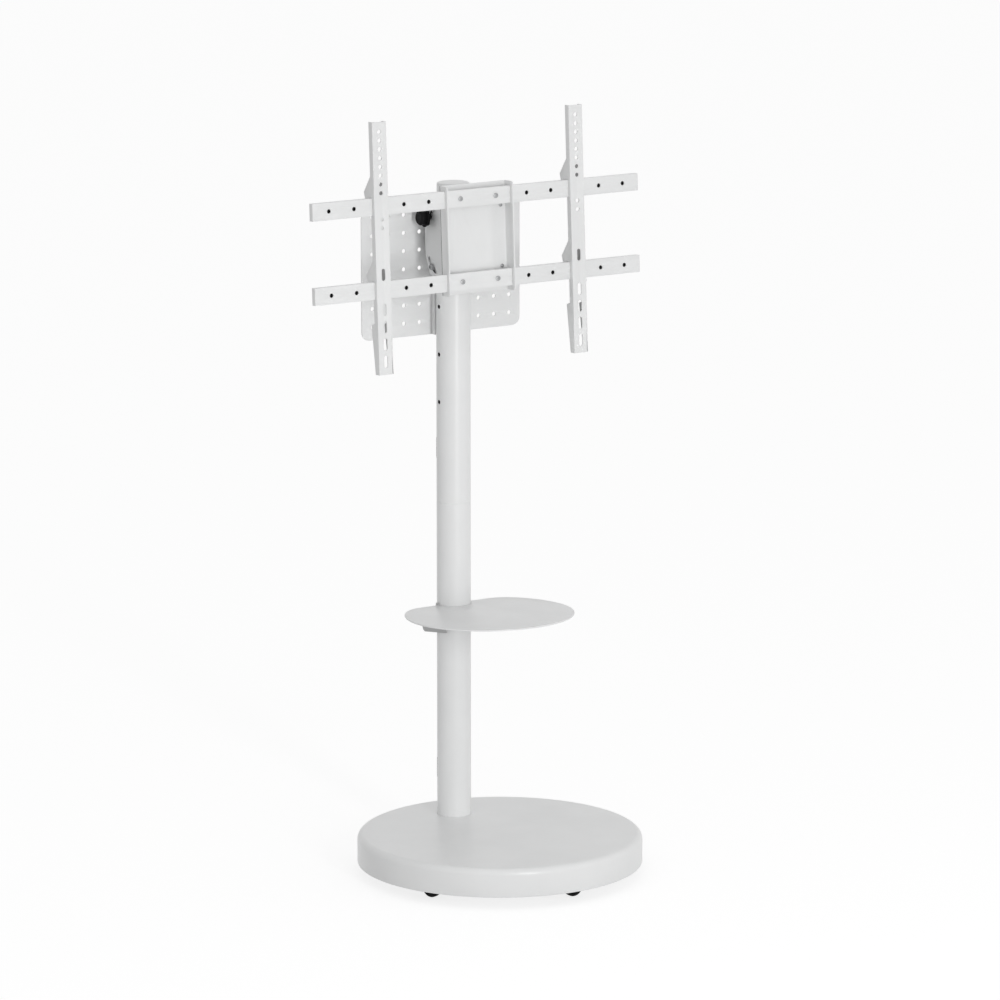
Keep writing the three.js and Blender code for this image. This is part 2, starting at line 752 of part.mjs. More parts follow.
function tiltKnob() {
  const grip = extrudedX(knobOutline(), knobCapX, knobGripX);
  const fillet = arcPoints(knobCapRadius - knobCapFillet, knobFaceX + knobCapFillet, knobCapFillet,
    -90, 0, filletSteps);
  const cap = turnedZ([
    [0, knobFaceX], ...fillet, [knobCapRadius, knobCapX + overrun], [0, knobCapX + overrun],
  ], roundSides).rotate([0, 90, 0]);
  const collar = rodX(knobCollarRadius, knobGripX - overrun, knobInnerX, roundSides);
  const bore = rodX(knobStudRadius + gap, knobInnerX - knobBoreDepth, knobInnerX + overrun);
  return union([grip, cap, collar]).subtract(bore);
}

function knobStud() {
  return rodX(knobStudRadius, knobInnerX - knobBoreDepth + gap, -sleeveInner);
}

function heightBolt() {
  const head = -heightBossReach - heightBoltStandoff;
  return rodY(heightBoltRadius, head - gap, -columnRadius - linerGap)
    .add(rodY(heightBoltHeadRadius, head - heightBoltHeadHeight, head, hexagonSides));
}

function pivotPin() {
  const ear = earOuterX + gap;
  const end = ear + pivotHeadHeight;
  return turnedZ([
    [0, -end], [pivotHeadRadius, -end], [pivotHeadRadius, -ear], [pivotRadius, -ear],
    [pivotRadius, ear], [pivotHeadRadius, ear], [pivotHeadRadius, end], [0, end],
  ], pinSides).rotate([0, 90, 0]);
}

function tiltLockBolt(side) {
  const washer = earOuterX + gap;
  const head = washer + lockWasherThickness;
  const bolt = turnedZ([
    [0, sleeveInner], [lockBoltRadius, sleeveInner], [lockBoltRadius, washer], [lockWasherRadius, washer],
    [lockWasherRadius, head], [lockHeadRadius, head], [lockHeadRadius, head + lockHeadHeight],
    [0, head + lockHeadHeight],
  ], pinSides);
  return bolt.rotate([0, 90 * side, 0]);
}

function buildCarriage(column) {
  place(column, "carriage_sleeve", carriageSleeve(), coat);
  place(column, "carriage_liner_lower", carriageLiner(sleeveBottom), black);
  place(column, "carriage_liner_upper", carriageLiner(sleeveTop - linerLength), black);
  const knob = group(column, 0, knobFromColumn, knobZ);
  place(knob, "tilt_knob", tiltKnob(), black);
  place(knob, "tilt_knob_stud", knobStud(), steel);
  const height = group(column, 0, 0, heightBoltZ);
  place(height, "height_lock_bolt", heightBolt(), steel);
  const pivot = group(column, 0, pivotFromColumn, pivotZ);
  place(pivot, "tilt_pivot_pin", pivotPin(), steel);
  const lock = group(column, 0, lockBoltFromColumn, lockBoltZ);
  place(lock, "tilt_lock_bolt_left", tiltLockBolt(-1), steel);
  place(lock, "tilt_lock_bolt_right", tiltLockBolt(1), steel);
}

// Equipment plate and its channel

const keywayRearY = columnY + keywayDepth + keywayWall;
const avTop = sleeveTop + avRise;
const avBottom = avTop - avHeight;
const avScrewHeights = avScrewDrops.map((drop) => sleeveTop - drop);
const avFrontY = columnY + avFrontFromColumn;
const avRearY = avFrontY + avThickness;
const channelFlangeFrontY = columnY + channelFlangeFromColumn;

function avScrewHoles() {
  return avScrewHeights.map((z) =>
    rodY(avScrewRadius + gap, columnY + keywayDepth - overrun, avRearY + overrun).translate([0, 0, z]));
}

function avPlate() {
  const shape = roundedRectangle(-avHalfWidth, avHalfWidth, avBottom, avTop, avCornerRadius);
  const middle = (avBottom + avTop) / 2;
  for (let column = 0; column < avSideColumns; column += 1) {
    for (let row = 0; row < avRows; row += 1) {
      const x = avInnerHoleX + column * avHolePitch;
      const z = middle + (row - (avRows - 1) / 2) * avHolePitch;
      shape.holes.push(holePath(x, z, avHoleRadius), holePath(-x, z, avHoleRadius));
    }
  }
  return cut(extrudedY(shape, avFrontY, avRearY), avScrewHoles());
}

function avChannel() {
  const flangeTop = sleeveBottom - channelFlangeMargin;
  const webTop = sleeveTop - channelTopMargin;
  const web = box(-channelHalfWidth, channelHalfWidth, keywayRearY, avFrontY, avBottom, webTop);
  const flanges = [-channelHalfWidth, channelHalfWidth - channelWall].map((x) =>
    box(x, x + channelWall, channelFlangeFrontY, keywayRearY + overrun, avBottom, flangeTop));
  return cut(union([web, ...flanges]), avScrewHoles());
}

function avScrew(z) {
  return screwY(avScrewRadius, columnY + keywayDepth, avRearY, avScrewHeadRadius, avScrewHeadHeight)
    .translate([0, 0, z]);
}

function buildEquipmentPlate() {
  place(stand, "av_plate", avPlate(), coat);
  place(stand, "av_channel", avChannel(), coat);
  avScrewHeights.forEach((z, i) => place(stand, `av_screw_${i + 1}`, avScrew(z), steel));
}

// Tilting head, in a group with its origin on the tilt pivot

const panelFrontY = barFrontY + trayPanelSetback;
const panelRearY = panelFrontY + trayWall;
const flangeFrontY = barFrontY - trayFlangeProud;
const barRearY = barFrontY + barDepth;
const barHeights = [barSpacing / 2, -barSpacing / 2];
const mirrored = [-1, 1];
const pivotY = columnY + pivotFromColumn;
const barHoleRun = barLength / 2 - barHoleMargin - barInnerHoleX;
const barSideHoles = Math.floor(barHoleRun / barHolePitch) + 1;

function barScrewPlaces() {
  return barHeights.flatMap((z) => mirrored.map((side) => [side * barScrewX, z]));
}

function trayScrewPlaces() {
  return [-trayScrewZ, trayScrewZ].flatMap((z) => mirrored.map((side) => [side * trayScrewX, z]));
}

function tray() {
  const arcY = flangeFrontY + trayCornerRadius;
  const arcZ = trayHalfHeight - trayCornerRadius;
  const flange = outline([
    [panelRearY, trayHalfHeight],
    ...arcPoints(arcY, arcZ, trayCornerRadius, 90, 180, filletSteps),
    ...arcPoints(arcY, -arcZ, trayCornerRadius, 180, 270, filletSteps),
    [panelRearY, -trayHalfHeight],
  ]);
  const flanges = [-trayHalfWidth, trayHalfWidth - trayWall].map((x) => extrudedX(flange, x, x + trayWall));
  const panel = box(-trayHalfWidth, trayHalfWidth, panelFrontY, panelRearY, -trayHalfHeight, trayHalfHeight);
  const half = barHeight / 2 + gap;
  const side = trayHalfWidth + overrun;
  const windows = barHeights.map((z) =>
    box(-side, side, barFrontY - gap, barRearY + gap, z - half, z + half));
  const barHoles = barScrewPlaces().map(([x, z]) =>
    rodY(barScrewRadius + gap, barFrontY, panelRearY + overrun).translate([x, 0, z]));
  const trayHoles = trayScrewPlaces().map(([x, z]) =>
    rodY(trayScrewRadius + gap, panelFrontY - overrun, panelRearY + overrun).translate([x, 0, z]));
  const bosses = barScrewPlaces().map(([x, z]) =>
    rodY(barBossRadius, barRearY + gap, panelRearY - overrun).translate([x, 0, z]));
  return cut(cut(union([panel, ...flanges]), windows).add(union(bosses)), [...barHoles, ...trayHoles]);
}

// A slot along an arc about the tilt pivot, round the place that a fixed stud has there at rest.
function tiltSlot(studY, studZ, halfWidth) {
  const radius = Math.hypot(studY, studZ);
  const rest = THREE.MathUtils.radToDeg(Math.atan2(studZ, studY)) + headTilt;
  const from = rest - tiltForward - slotEndMargin;
  const to = rest + tiltBack + slotEndMargin;
  const [endY, endZ] = [radius * Math.cos(radians(to)), radius * Math.sin(radians(to))];
  const [startY, startZ] = [radius * Math.cos(radians(from)), radius * Math.sin(radians(from))];
  return outline([
    ...arcPoints(0, 0, radius + halfWidth, from, to, pinSides),
    ...arcPoints(endY, endZ, halfWidth, to, to + 180, pinSides / 2).slice(1, -1),
    ...arcPoints(0, 0, radius - halfWidth, to, from, pinSides),
    ...arcPoints(startY, startZ, halfWidth, from + 180, from + 360, pinSides / 2).slice(1, -1),
  ]);
}

function tiltEar(side) {
  const footFrontY = panelRearY + gap;
  const plate = outline([
    [footFrontY, -earFootHalfHeight], [footFrontY + earThickness, -earHalfHeight],
    [earChamferY, -earHalfHeight], [earRearY, -earShoulderZ], [earRearY, earShoulderZ],
    [earChamferY, earHalfHeight], [footFrontY + earThickness, earHalfHeight], [footFrontY, earFootHalfHeight],
  ]);
  const cheek = extrudedX(plate, earInnerX, earOuterX);
  const foot = box(earInnerX, earOuterX + earFootReach, footFrontY, footFrontY + earThickness,
    -earFootHalfHeight, earFootHalfHeight);
  const pivotHole = rodX(pivotRadius + gap, earInnerX - overrun, earOuterX + overrun);
  const knobSlot = tiltSlot(knobFromColumn - pivotFromColumn, knobZ - pivotZ, knobStudRadius + lockSlotGap);
  const lockSlot = tiltSlot(lockBoltFromColumn - pivotFromColumn, lockBoltZ - pivotZ,
    lockBoltRadius + lockSlotGap);
  const slots = [knobSlot, lockSlot].map((shape) =>
    extrudedX(shape, earInnerX - overrun, earOuterX + overrun));
  const screwHoles = [-trayScrewZ, trayScrewZ].map((z) =>
    rodY(trayScrewRadius + gap, footFrontY - overrun, footFrontY + earThickness + overrun)
      .translate([trayScrewX, 0, z]));
  const right = cut(cheek.add(foot), [pivotHole, ...slots, ...screwHoles]);
  return side > 0 ? right : right.mirror([1, 0, 0]);
}

// A screw that enters from the front, with its head against the face at seatY.
function frontScrew([x, z], radius, rearY, seatY, headRadius, headHeight) {
  const front = seatY - gap - headHeight;
  return rodY(radius, seatY - gap - headHeight / 2, rearY)
    .add(rodY(headRadius, front, seatY - gap)).translate([x, 0, z]);
}

function crossbar(z) {
  const half = barLength / 2;
  const top = z + barHeight / 2;
  const bottom = z - barHeight / 2;
  const inside = barFrontY + barWall;
  const hollow = box(barWall - half, half - barWall, inside, barRearY - barWall,
    bottom + barWall, top - barWall);
  const screwHoles = mirrored.map((side) =>
    rodY(barScrewRadius + gap, barFrontY - overrun, barRearY + overrun)
      .translate([side * barScrewX, 0, z]));
  const holes = mirrored.flatMap((side) => Array.from({ length: barSideHoles }, (_, i) =>
    rodY(barHoleRadius, barFrontY - overrun, inside + overrun, patternHoleSides)
      .translate([side * (barInnerHoleX + i * barHolePitch), 0, z])));
  return cut(box(-half, half, barFrontY, barRearY, bottom, top), [hollow, ...screwHoles, ...holes]);
}

// An arm in its own group: x from its middle, y from the bars' front faces, z from the tilt pivot.
function armFlangeOutline() {
  const front = -armWebProud;
  const seat = barHeight / 2 + gap;
  const behind = barDepth + gap;
  const hook = (z) => [
    [armFlangeReach, z - seat], [-gap, z - seat], [-gap, z + seat], [behind, z + seat],
    [behind, z + seat - hookLip], [behind + hookLipDepth, z + seat - hookLip],
    [hookReach, z + seat + hookShoulder], [armFlangeReach, z + seat + hookStart],
  ];
  return outline([
    [front, armTopZ], [front, armBottomZ], [armSkirtToe, armBottomZ],
    [armSkirtReach, armSkirtTopZ - armSkirtStep], [armFlangeReach, armSkirtTopZ],
    ...hook(barHeights[1]), ...hook(barHeights[0]), [armFlangeReach, armTopZ],
  ]);
}

// The heights of a row of holes, without those that would lie in front of a bar.
function clearOfBars(first, pitch, count, halfLength) {
  return Array.from({ length: count }, (_, i) => first - i * pitch)
    .filter((z) => barHeights.every((bar) => Math.abs(z - bar) > barHeight / 2 + halfLength));
}

function armHoles() {
  const round = clearOfBars(armFirstHoleZ, armHolePitch, armHoleCount, armHoleRadius)
    .map((z) => holePath(0, z, armHoleRadius));
  const slot = stadium(2 * armHoleRadius, armSlotLength).getPoints();
  const slots = clearOfBars(armFirstSlotZ, armSlotPitch, armSlotCount, armSlotLength / 2)
    .map((z) => new THREE.Path(slot.map((p) => new THREE.Vector2(p.x, p.y + z))));
  return [...round, ...slots];
}

const armBoltY = -armBoltSetback;
const armBoltZ = barHeights[1] - barHeight / 2 - gap - armBoltHeadRadius;

function arm() {
  const half = armWidth / 2;
  const front = -armWebProud;
  const webShape = outline([[-half, armBottomZ], [half, armBottomZ], [half, armTopZ], [-half, armTopZ]]);
  webShape.holes.push(...armHoles());
  const web = extrudedY(webShape, front, front + armWall);
  const flanges = [-half, half - armWall].map((x) => extrudedX(armFlangeOutline(), x, x + armWall));
  const boltHole = rodX(armBoltRadius + gap, -half - overrun, half + overrun)
    .translate([0, armBoltY, armBoltZ]);
  return union([web, ...flanges]).subtract(boltHole);
}

function armBolt() {
  const half = armWidth / 2;
  return rodX(armBoltRadius, -half, half + 2 * gap)
    .add(rodX(armBoltHeadRadius, half + gap, half + gap + armBoltHeadHeight, hexagonSides))
    .translate([0, armBoltY, armBoltZ]);
}

function buildHead() {
  const head = group(stand, 0, pivotY, pivotZ);
  head.rotation.x = -radians(headTilt);
  place(head, "tray", tray(), coat);
  place(head, "tilt_ear_left", tiltEar(-1), coat);
  place(head, "tilt_ear_right", tiltEar(1), coat);
  trayScrewPlaces().forEach((spot, i) => place(head, `tray_screw_${i + 1}`,
    frontScrew(spot, trayScrewRadius, panelRearY + gap + earThickness, panelFrontY,
      trayScrewHeadRadius, trayScrewHeadHeight), steel));
  place(head, "crossbar_upper", crossbar(barHeights[0]), coat);
  place(head, "crossbar_lower", crossbar(barHeights[1]), coat);
  barScrewPlaces().forEach((spot, i) => place(head, `bar_screw_${i + 1}`,
    frontScrew(spot, barScrewRadius, panelRearY, barFrontY, barScrewHeadRadius, barScrewHeadHeight), steel));
  for (const side of mirrored) {
    const holder = group(head, side * armX, barFrontY, 0);
    const name = side < 0 ? "left" : "right";
    place(holder, `arm_${name}`, arm(), coat);
    place(holder, `arm_bolt_${name}`, armBolt(), steel);
  }
}

buildBase();
buildCasters();
const columnGroup = group(stand, 0, columnY, 0);
buildColumn(columnGroup);
buildShelf();
buildCarriage(columnGroup);
buildEquipmentPlate();
buildHead();

export default stand;
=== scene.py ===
# The looks of the rolling television stand: smooth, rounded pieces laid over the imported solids,
# procedural finishes, and a pale studio. Metres, +Z up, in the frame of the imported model.
import json
import math

import bmesh
import bpy
from mathutils import Matrix, Vector
from mathutils.geometry import interpolate_bezier, tessellate_polygon


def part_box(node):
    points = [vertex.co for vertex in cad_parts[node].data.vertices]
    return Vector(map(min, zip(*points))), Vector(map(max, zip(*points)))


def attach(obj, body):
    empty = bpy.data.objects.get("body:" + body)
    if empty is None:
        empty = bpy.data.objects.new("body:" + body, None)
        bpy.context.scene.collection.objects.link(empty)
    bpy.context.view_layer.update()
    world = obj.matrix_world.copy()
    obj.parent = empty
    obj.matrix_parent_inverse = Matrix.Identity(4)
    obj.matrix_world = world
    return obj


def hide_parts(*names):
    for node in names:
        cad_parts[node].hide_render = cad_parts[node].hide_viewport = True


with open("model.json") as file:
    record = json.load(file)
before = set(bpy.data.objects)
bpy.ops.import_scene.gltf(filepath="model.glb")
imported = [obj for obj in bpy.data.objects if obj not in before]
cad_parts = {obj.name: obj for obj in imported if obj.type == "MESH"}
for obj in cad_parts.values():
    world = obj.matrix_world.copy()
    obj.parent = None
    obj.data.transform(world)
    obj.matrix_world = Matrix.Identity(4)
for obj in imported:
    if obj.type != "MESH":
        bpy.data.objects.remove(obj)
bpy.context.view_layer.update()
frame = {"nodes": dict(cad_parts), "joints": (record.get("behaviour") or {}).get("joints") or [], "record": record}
nodes = frame["nodes"]
joints = {joint["name"]: joint for joint in frame["joints"]}

# Camera, as fitted to the photograph
CAMERA_PLACE = (-5.21571, -8.11368, 2.65448)
CAMERA_PITCH = math.radians(78.341)
CAMERA_HEADING = math.radians(-32.735)
CAMERA_LENS = 204.65
SENSOR_WIDTH = 36.0

# How finely rounds are drawn, and how edges are broken
BASE_SIDES = 192
COLUMN_SIDES = 96
ROUND_SIDES = 48
HOLE_SIDES = 24
ARC_STEPS = 6
LIP_STEPS = 3
EDGE = 0.0004
SOFT_EDGE = 0.0008
EDGE_SEGMENTS = 2
SOFT_SEGMENTS = 3
SMOOTH_ANGLE = math.radians(32)
BEVEL_ANGLE = math.radians(50)
FLAT_ANGLE = math.radians(0.5)

# The air left between pieces that touch, and how far a cut or a sunk end runs on
GAP = 0.0003
OVERRUN = 0.001

# Angles at which the head and the shelf stand
HEAD_TILT = math.radians(2.9)
SHELF_PITCH = math.radians(1.75)


# Outlines: lists of (a, b) pairs


def arc(a, b, radius, start, end, steps=ARC_STEPS):
    angles = [math.radians(start + (end - start) * i / steps) for i in range(steps + 1)]
    return [(a + radius * math.cos(t), b + radius * math.sin(t)) for t in angles]


def circle(a, b, radius, sides=HOLE_SIDES):
    return arc(a, b, radius, 0, 360, sides)[:-1]


def rectangle(a0, a1, b0, b1, radius=0.0):
    if not radius:
        return [(a0, b0), (a1, b0), (a1, b1), (a0, b1)]
    return (
        arc(a1 - radius, b0 + radius, radius, -90, 0)
        + arc(a1 - radius, b1 - radius, radius, 0, 90)
        + arc(a0 + radius, b1 - radius, radius, 90, 180)
        + arc(a0 + radius, b0 + radius, radius, 180, 270)
    )


def stadium(a, b, width, height):
    rise = (height - width) / 2
    half = HOLE_SIDES // 2
    return arc(a, b + rise, width / 2, 0, 180, half) + arc(a, b - rise, width / 2, 180, 360, half)


def keyhole(radius, half_width, rear):
    """A circle that runs on to the rear as a straight sided box."""
    reach = math.degrees(math.acos(half_width / radius))
    bow = arc(0, 0, radius, 180 - reach, 360 + reach, ROUND_SIDES)
    return [(half_width, rear), (-half_width, rear)] + bow


# Meshes: every maker returns a bmesh, and piece() turns it into an object of the scene


def prism(axis, outline, low, high, holes=()):
    """Pushes an outline with holes along X, Y or Z. Its pairs are (y, z), (x, z) or (x, y)."""
    spread = {
        "X": lambda a, b, c: (c, a, b),
        "Y": lambda a, b, c: (a, c, b),
        "Z": lambda a, b, c: (a, b, c),
    }[axis]
    loops = [list(outline), *[list(hole) for hole in holes]]
    bm = bmesh.new()
    ends = []
    for level in (low, high):
        ends.append([[bm.verts.new(spread(a, b, level)) for a, b in loop] for loop in loops])
    triangles = tessellate_polygon([[Vector((a, b, 0)) for a, b in loop] for loop in loops])
    for end in ends:
        flat = [vert for loop in end for vert in loop]
        for triangle in triangles:
            bm.faces.new([flat[i] for i in triangle])
    for near, far in zip(*ends):
        for i, vert in enumerate(near):
            bm.faces.new((vert, near[i - 1], far[i - 1], far[i]))
    bmesh.ops.recalc_face_normals(bm, faces=bm.faces)
    bmesh.ops.dissolve_limit(bm, angle_limit=FLAT_ANGLE, verts=bm.verts, edges=bm.edges)
    return bm


def lathe(profile, sides=ROUND_SIDES):
    """A solid of revolution about Z. Its (radius, z) pairs start and end on the axis, or close a ring."""
    bm = bmesh.new()
    on_axis = profile[0][0] == 0
    rings = []
    for radius, z in profile:
        if radius == 0:
            rings.append([bm.verts.new((0, 0, z))])
        else:
            rings.append([bm.verts.new((x, y, z)) for x, y in circle(0, 0, radius, sides)])
    pairs = list(zip(rings, rings[1:] if on_axis else rings[1:] + rings[:1]))
    for lower, upper in pairs:
        for i in range(sides):
            corners = [lower[i % len(lower)], lower[(i + 1) % len(lower)],
                       upper[(i + 1) % len(upper)], upper[i % len(upper)]]
            unique = list(dict.fromkeys(corners))
            if len(unique) > 2:
                bm.faces.new(unique)
    bmesh.ops.recalc_face_normals(bm, faces=bm.faces)
    return bm


def tube(outer, inner, low, high):
    return lathe([(outer, low), (outer, high), (inner, high), (inner, low)], COLUMN_SIDES)


def rod(axis, radius, low, high, sides=ROUND_SIDES):
    bm = lathe([(0, low), (radius, low), (radius, high), (0, high)], sides)
    return turned(bm, axis)


def turned(bm, axis):
    """Turns a mesh made along Z so that its +Z end points along the given axis."""
    aim = {"X": (1, 0, 0), "-X": (-1, 0, 0), "Y": (0, 1, 0), "-Y": (0, -1, 0),
           "Z": (0, 0, 1), "-Z": (0, 0, -1)}
    return moved(bm, Vector((0, 0, 1)).rotation_difference(Vector(aim[axis])).to_matrix().to_4x4())


def moved(bm, matrix):
    if not isinstance(matrix, Matrix):
        matrix = Matrix.Translation(matrix)
    bm.transform(matrix)
    return bm


def block(x0, x1, y0, y1, z0, z1):
    return prism("Z", rectangle(x0, x1, y0, y1), z0, z1)


def block_between(low, high):
    return block(low.x, high.x, low.y, high.y, low.z, high.z)


def loft(sections):
    """Skins closed loops of points, one after another, and caps both ends."""
    bm = bmesh.new()
    rings = [[bm.verts.new(point) for point in section] for section in sections]
    for lower, upper in zip(rings, rings[1:]):
        for i, vert in enumerate(lower):
            bm.faces.new((lower[i - 1], vert, upper[i], upper[i - 1]))
    bm.faces.new(rings[0])
    bm.faces.new(rings[-1])
    bmesh.ops.recalc_face_normals(bm, faces=bm.faces)
    return bm


def to_data(name, bm):
    data = bpy.data.meshes.new(name)
    bm.to_mesh(data)
    bm.free()
    return data


def linked(name, data):
    made = bpy.data.objects.new(name, data)
    bpy.context.scene.collection.objects.link(made)
    return made


def joined(meshes):
    whole = bmesh.new()
    for bm in meshes:
        data = to_data("part", bm)
        whole.from_mesh(data)
        bpy.data.meshes.remove(data)
    return whole


def combined(first, others, operation):
    """A mesh joined with, cut by, or kept only inside, every mesh in others."""
    target, *tools = [linked("operand", to_data("operand", bm)) for bm in (first, *others)]
    for tool in tools:
        modifier = target.modifiers.new("combine", "BOOLEAN")
        modifier.operation = operation
        modifier.solver = "EXACT"
        modifier.object = tool
    view = bpy.context.evaluated_depsgraph_get()
    data = bpy.data.meshes.new_from_object(target.evaluated_get(view))
    result = bmesh.new()
    result.from_mesh(data)
    for made in [target, *tools]:
        bpy.data.meshes.remove(made.data)
    bpy.data.meshes.remove(data)
    return result


def union(first, *others):
    return combined(first, others, "UNION")


def cut(first, *tools):
    return combined(first, tools, "DIFFERENCE")


def common(first, *others):
    return combined(first, others, "INTERSECT")


def piece(name, bm, material, body, replaced, slot, edge=EDGE, place=None,
          segments=EDGE_SEGMENTS):
    """Makes an object of a mesh, breaks its edges, ties it to its body, and hides the solids it stands for."""
    if place:
        bm.transform(place)
    data = to_data(name, bm)
    data.materials.append(material)
    made = linked(name, data)
    if edge:
        bevel = made.modifiers.new("edges", "BEVEL")
        bevel.width = edge
        bevel.segments = segments
        bevel.limit_method = "ANGLE"
        bevel.angle_limit = BEVEL_ANGLE
        bevel.miter_outer = "MITER_ARC"
        view = bpy.context.evaluated_depsgraph_get()
        bevelled = bpy.data.meshes.new_from_object(made.evaluated_get(view))
        made.modifiers.clear()
        made.data = bevelled
        bpy.data.meshes.remove(data)
        bevelled.name = name
    made.data.shade_smooth()
    made.data.set_sharp_from_angle(angle=SMOOTH_ANGLE)
    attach(made, body)
    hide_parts(*replaced)
    return made


def box_in(place, node):
    """The lowest and highest corners of a node in the frame that place describes."""
    back = place.inverted()
    points = [back @ vert.co for vert in nodes[node].data.vertices]
    low = Vector([min(point[i] for point in points) for i in range(3)])
    high = Vector([max(point[i] for point in points) for i in range(3)])
    return low, high


# Finishes. Noise is given as scale, detail and stretch. The dark tone is bare metal inside the tubes,
# and painted shade on other faces that light hardly reaches; a shade is the share of it mixed into the coat.

NOISE_RANGE = (0.3, 0.7)
# The dark tone: bare metal inside the column and the bars, painted shade in the seam, the slots, the arm flanges
# and on the bracket
BARE_AND_SHADE_TONE = (0.035, 0.035, 0.037)


def new_material(name):
    material = bpy.data.materials.new(name)
    material.use_nodes = True
    tree = material.node_tree
    shader = tree.nodes["Principled BSDF"]
    coordinates = tree.nodes.new("ShaderNodeTexCoord")
    return material, tree, shader, coordinates.outputs["Object"]


def noise(tree, source, scale, detail, stretch=None):
    if stretch:
        mapping = tree.nodes.new("ShaderNodeMapping")
        mapping.inputs["Scale"].default_value = stretch
        tree.links.new(source, mapping.inputs["Vector"])
        source = mapping.outputs["Vector"]
    texture = tree.nodes.new("ShaderNodeTexNoise")
    texture.inputs["Scale"].default_value = scale
    texture.inputs["Detail"].default_value = detail
    tree.links.new(source, texture.inputs["Vector"])
    return texture.outputs["Fac"]


def mapped(tree, value, source, target):
    """Maps a value from one range onto another."""
    spread = tree.nodes.new("ShaderNodeMapRange")
    for end, number in zip(("From Min", "From Max", "To Min", "To Max"), (*source, *target)):
        spread.inputs[end].default_value = number
    tree.links.new(value, spread.inputs["Value"])
    return spread.outputs["Result"]


def varied(tree, value, low, high, socket):
    """Maps a noise value onto a range, or between two colours, and links it to a socket."""
    if isinstance(low, tuple):
        ramp = tree.nodes.new("ShaderNodeValToRGB")
        for element, position, colour in zip(ramp.color_ramp.elements, NOISE_RANGE, (low, high)):
            element.position = position
            element.color = (*colour, 1)
        tree.links.new(value, ramp.inputs["Fac"])
        tree.links.new(ramp.outputs["Color"], socket)
        return
    tree.links.new(mapped(tree, value, NOISE_RANGE, (low, high)), socket)


def bumped(tree, shader, value, strength, distance):
    bump = tree.nodes.new("ShaderNodeBump")
    bump.inputs["Strength"].default_value = strength
    bump.inputs["Distance"].default_value = distance
    tree.links.new(value, bump.inputs["Height"])
    tree.links.new(bump.outputs["Normal"], shader.inputs["Normal"])


def bared_and_shaded(tree, socket):
    """Darkens the faces that are left bare and those that carry painted shade, and gives the socket for the coat's
    own colour.
    """
    mix = tree.nodes.new("ShaderNodeMix")
    mix.data_type = "RGBA"
    coat, bare_and_shade_socket = [colour for colour in mix.inputs if colour.type == "RGBA"]
    bare_and_shade_socket.default_value = (*BARE_AND_SHADE_TONE, 1)
    bare = tree.nodes.new("ShaderNodeAttribute")
    bare.attribute_name = "bare"
    tree.links.new(bare.outputs["Fac"], mix.inputs["Factor"])
    tree.links.new(next(out for out in mix.outputs if out.type == "RGBA"), socket)
    return coat


def finish(name, tones, tone_noise, roughness, roughness_noise, grain_noise, grain_strength, grain_depth,
           specular=None, metallic=0.0, has_bare_and_shade=False):
    """A procedural finish: two tones, a range of roughness and a fine grain."""
    material, tree, shader, where = new_material(name)
    colour = shader.inputs["Base Color"]
    if has_bare_and_shade:
        colour = bared_and_shaded(tree, colour)
    varied(tree, noise(tree, where, *tone_noise), *tones, colour)
    varied(tree, noise(tree, where, *roughness_noise), *roughness, shader.inputs["Roughness"])
    bumped(tree, shader, noise(tree, where, *grain_noise), grain_strength, grain_depth)
    if specular is not None:
        shader.inputs["Specular IOR Level"].default_value = specular
    shader.inputs["Metallic"].default_value = metallic
    return material


FINISHES = {
    # Pale satin powder coat: a fine orange peel, and a faint unevenness of tone
    "white_coat": finish(
        "white_coat", has_bare_and_shade=True, specular=0.45,
        tones=((0.79, 0.795, 0.795), (0.83, 0.835, 0.835)), tone_noise=(9, 3),
        roughness=(0.28, 0.36), roughness_noise=(160, 3),
        grain_noise=(850, 2), grain_strength=0.12, grain_depth=0.0002,
    ),
    # Black moulded plastic with a fine spark-eroded grain
    "black_plastic": finish(
        "black_plastic", specular=0.1,
        tones=((0.004, 0.004, 0.0045), (0.008, 0.008, 0.0085)), tone_noise=(60, 3),
        roughness=(0.38, 0.52), roughness_noise=(400, 2),
        grain_noise=(2200, 2), grain_strength=0.25, grain_depth=0.0001,
    ),
    # Dull black rubber, a little uneven from the mould
    "rubber": finish(
        "rubber", specular=0.12,
        tones=((0.003, 0.003, 0.0035), (0.008, 0.008, 0.008)), tone_noise=(90, 4),
        roughness=(0.62, 0.8), roughness_noise=(240, 3),
        grain_noise=(1300, 3), grain_strength=0.3, grain_depth=0.0001,
    ),
    # Zinc plated steel: a soft metal gloss with faint machining marks
    "steel": finish(
        "steel", metallic=1.0,
        tones=((0.38, 0.385, 0.39), (0.46, 0.465, 0.47)), tone_noise=(120, 3),
        roughness=(0.26, 0.42), roughness_noise=(700, 2, (1, 1, 6)),
        grain_noise=(900, 2, (1, 1, 8)), grain_strength=0.08, grain_depth=0.0001,
    ),
}


def finish_solids():
    """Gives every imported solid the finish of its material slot."""
    for part in frame["record"]["subparts"]:
        data = nodes[part["node"]].data
        data.materials.clear()
        data.materials.append(FINISHES[part["material_slot"]])


def add(name, bm, slot, body, **options):
    """A piece in one of the finishes, which stands for the node of its own name."""
    return piece(f"{name}_look", bm, FINISHES[slot], body, [name], slot, **options)


def leave_bare_and_shade(made, place, inside):
    """Mixes the dark tone into the faces whose centre, in the frame of place, lies inside, by the share that
    inside gives: bare metal in the tubes, painted shade elsewhere.
    """
    bare = made.data.attributes.new("bare", "FLOAT", "FACE")
    back = place.inverted()
    bare.data.foreach_set("value", [float(inside(back @ face.center)) for face in made.data.polygons])


# Base

COVER_WALL = 0.003
COVER_EDGE = 0.012
COVER_LIP = 0.001


